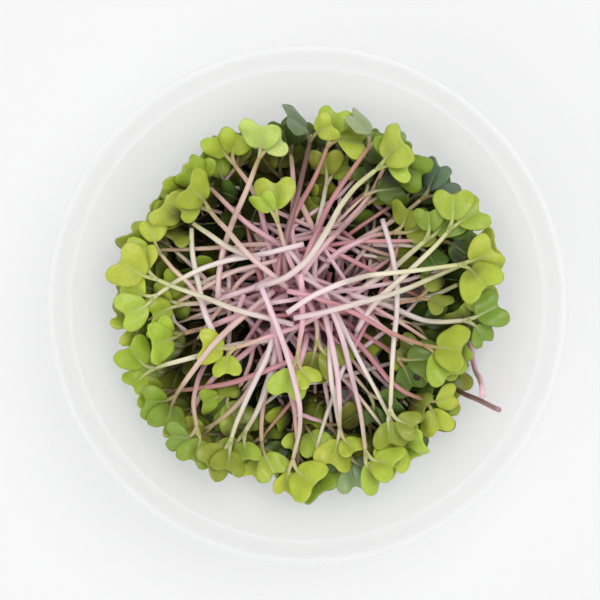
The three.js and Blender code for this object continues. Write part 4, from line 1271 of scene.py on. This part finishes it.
# %% Lay two of them on the heap
TILT, LIFT = 0.3, 0.35
SEED_COATS = [(-23.2, -52.4, 0.4), (33.0, -22.0, 2.6)]  # x, y and turn
for number, (x, y, turn) in enumerate(SEED_COATS, start=1):
    spots = np.array([[x + dx, y + dy, 0] for dx in (-0.6, 0, 0.6) for dy in (-0.6, 0, 0.6)])
    height = np.max(top_height.flat[half_cells(spots)]) + LIFT
    cos, sin = math.cos(turn), math.sin(turn)
    lying = points_of(coat) @ np.array([[cos, sin, 0], [-sin, cos, TILT], [0, -TILT, 1]])
    copy = copy_of(coat, lying + [x, y, height])
    copy.name = copy.data.name = f"seed_coat_{number}"
    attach(copy, "root")
bpy.data.objects.remove(coat)
print("seed coats:", len(SEED_COATS))

# %% [markdown]
# ## The tub
# The real tub is injection-moulded in one piece: a foot ring, a wall that widens upwards, a ledge
# where a lid would snap in, and a rolled rim that hangs down outside. It is a turned shape, so a
# circle is extruded ring by ring round its wall, as on a lathe, and its edges are then rounded.

# %% The tub's outline, in millimetres as in the solids
FOOT_RISE = 1.6  # the middle of the base stands this far above the ring that it rests on
FOOT_INNER_RADIUS = 54
WALL = 1.0
RIM_RADIUS = 75
RIM_HEIGHT = 54
SEAT_RADIUS = 69.6
SEAT_TOP_RADIUS = 72.2
LIP_DROP = 4.4  # how far the rolled rim hangs down outside
# Radius and height of each ring, from the middle of the underside out, up, over the rim and in.
TUB_RINGS = [
    (FOOT_INNER_RADIUS, FOOT_RISE),
    (FOOT_INNER_RADIUS + 1.2, 0),
    (FLOOR_RADIUS, 0),
    (FLOOR_RADIUS + 1.6, 1.2),
    (FLOOR_RADIUS + 2.1, FLOOR_TOP + 2.6),
    (SHOULDER_RADIUS + WALL, SHOULDER_HEIGHT - 0.7),
    (SEAT_RADIUS + WALL, SHOULDER_HEIGHT - 0.2),
    (SEAT_TOP_RADIUS + WALL, RIM_HEIGHT - 2.2),
    (RIM_RADIUS - WALL, RIM_HEIGHT - 1.8),
    (RIM_RADIUS - WALL + 0.1, RIM_HEIGHT - LIP_DROP),
    (RIM_RADIUS, RIM_HEIGHT - LIP_DROP),
    (RIM_RADIUS, RIM_HEIGHT - 0.9),
    (RIM_RADIUS - 0.8, RIM_HEIGHT),
    (SEAT_TOP_RADIUS + 0.9, RIM_HEIGHT),
    (SEAT_TOP_RADIUS, RIM_HEIGHT - 1),
    (SEAT_RADIUS, SHOULDER_HEIGHT + 0.8),
    (SEAT_RADIUS - 0.2, SHOULDER_HEIGHT + 0.1),
    (SHOULDER_RADIUS + 0.3, SHOULDER_HEIGHT),
    (SHOULDER_RADIUS, SHOULDER_HEIGHT - 0.5),
    (FLOOR_RADIUS + 0.6, FLOOR_TOP + 2.4),
    (FLOOR_RADIUS - 1.4, FLOOR_TOP),
]
print("tub outline:", len(TUB_RINGS), "rings")

# %% Turn the outline into a tub
TUB_SIDES = 144
SAME_RING = 0.01 * MM

radius, height = TUB_RINGS[0]
bpy.ops.mesh.primitive_circle_add(
    vertices=TUB_SIDES, radius=radius * MM, location=(0, 0, height * MM), fill_type="NOTHING"
)
tub = bpy.context.object
tub.name = "milky_tub"
bpy.ops.object.transform_apply(location=True, rotation=False, scale=False)
edit(tub)
bpy.ops.mesh.select_all(action="SELECT")
bpy.ops.mesh.edge_face_add()
for next_radius, next_height in TUB_RINGS[1:]:
    r, h = radius * MM, height * MM
    select_where(
        tub,
        lambda co: abs(math.hypot(co.x, co.y) - r) < SAME_RING and abs(co.z - h) < SAME_RING,
    )
    rise = (0, 0, (next_height - height) * MM)
    bpy.ops.mesh.extrude_edges_move(TRANSFORM_OT_translate={"value": rise})
    grow = next_radius / radius
    bpy.ops.transform.resize(value=(grow, grow, 1), center_override=(0, 0, 0))
    radius, height = next_radius, next_height
bpy.ops.mesh.edge_face_add()
finish_edit()

# %% Round its edges and give it its plastic
rounding = tub.modifiers.new("moulded edges", "BEVEL")
rounding.width = 0.2 * MM
rounding.segments = 3
rounding.limit_method = "ANGLE"
rounding.angle_limit = math.radians(20)
bpy.context.view_layer.objects.active = tub
bpy.ops.object.modifier_apply(modifier=rounding.name)
tub.select_set(True)
bpy.ops.object.shade_smooth_by_angle(angle=math.radians(35))
tub.select_set(False)
tub.data.materials.append(tub_plastic)
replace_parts(tub, "tub")
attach(tub, "root")
print("tub:", len(tub.data.polygons), "faces,", [round(side / MM, 1) for side in tub.dimensions])

# %% [markdown]
# ## The stage
# The tub stands on a plain pale table in a bright room, under a large soft lamp to the upper
# right and a weaker one to the lower left. The camera looks straight down on it from 600 mm above
# the table, a little to the left of the tub's axis and beyond it.

# %% Table
bpy.ops.mesh.primitive_plane_add(size=3)
table = bpy.context.object
table.name = "table"
table.select_set(False)
table_paint, tree, shader = new_material("white table paint")
set_shader(shader, Base_Color=(*linear("#f6f6f7"), 1), Roughness=0.6)
table.data.materials.append(table_paint)
table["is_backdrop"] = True

# %% Lights
world = bpy.data.worlds.new("bright room")
world.use_nodes = True
bpy.context.scene.world = world
sky = world.node_tree.nodes["Background"]
sky.inputs["Color"].default_value = (1, 1, 1, 1)
sky.inputs["Strength"].default_value = 0.61

LAMP_WIDTH = 0.9
# Power in watts and place in metres.
LAMPS = {"soft lamp": (7.8, (0.36, 0.34, 1.5)), "fill lamp": (3.2, (-0.6, -0.55, 1.1))}
for name, (power, place) in LAMPS.items():
    lamp_data = bpy.data.lights.new(name, "AREA")
    lamp_data.shape = "DISK"
    lamp_data.size = LAMP_WIDTH
    lamp_data.energy = power
    lamp = bpy.data.objects.new(name, lamp_data)
    lamp.location = place
    lamp.rotation_euler = Vector(place).to_track_quat("Z", "Y").to_euler()
    bpy.context.scene.collection.objects.link(lamp)

# %% Camera
CAMERA_PLACE = (-2.15, 1.35, 600)
SENSOR_WIDTH = 36
FRAME_WIDTH = 600  # pixels
PIXELS_AT_RIM = 3.487  # to a millimetre
camera_data = bpy.data.cameras.new("camera")
camera_data.sensor_width = SENSOR_WIDTH
camera_data.lens = PIXELS_AT_RIM * (CAMERA_PLACE[2] - RIM_HEIGHT) / FRAME_WIDTH * SENSOR_WIDTH
camera = bpy.data.objects.new("camera", camera_data)
camera.location = [place * MM for place in CAMERA_PLACE]
bpy.context.scene.collection.objects.link(camera)
bpy.context.scene.camera = camera
bpy.context.scene.view_settings.view_transform = "Standard"
print("lens:", round(camera_data.lens, 1), "mm")

# %% Tidy away the masters, write the sizes down and finish
for master in MASTERS:
    bpy.data.objects.remove(master)
low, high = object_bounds()
print("visual box:", tuple(low), tuple(high))
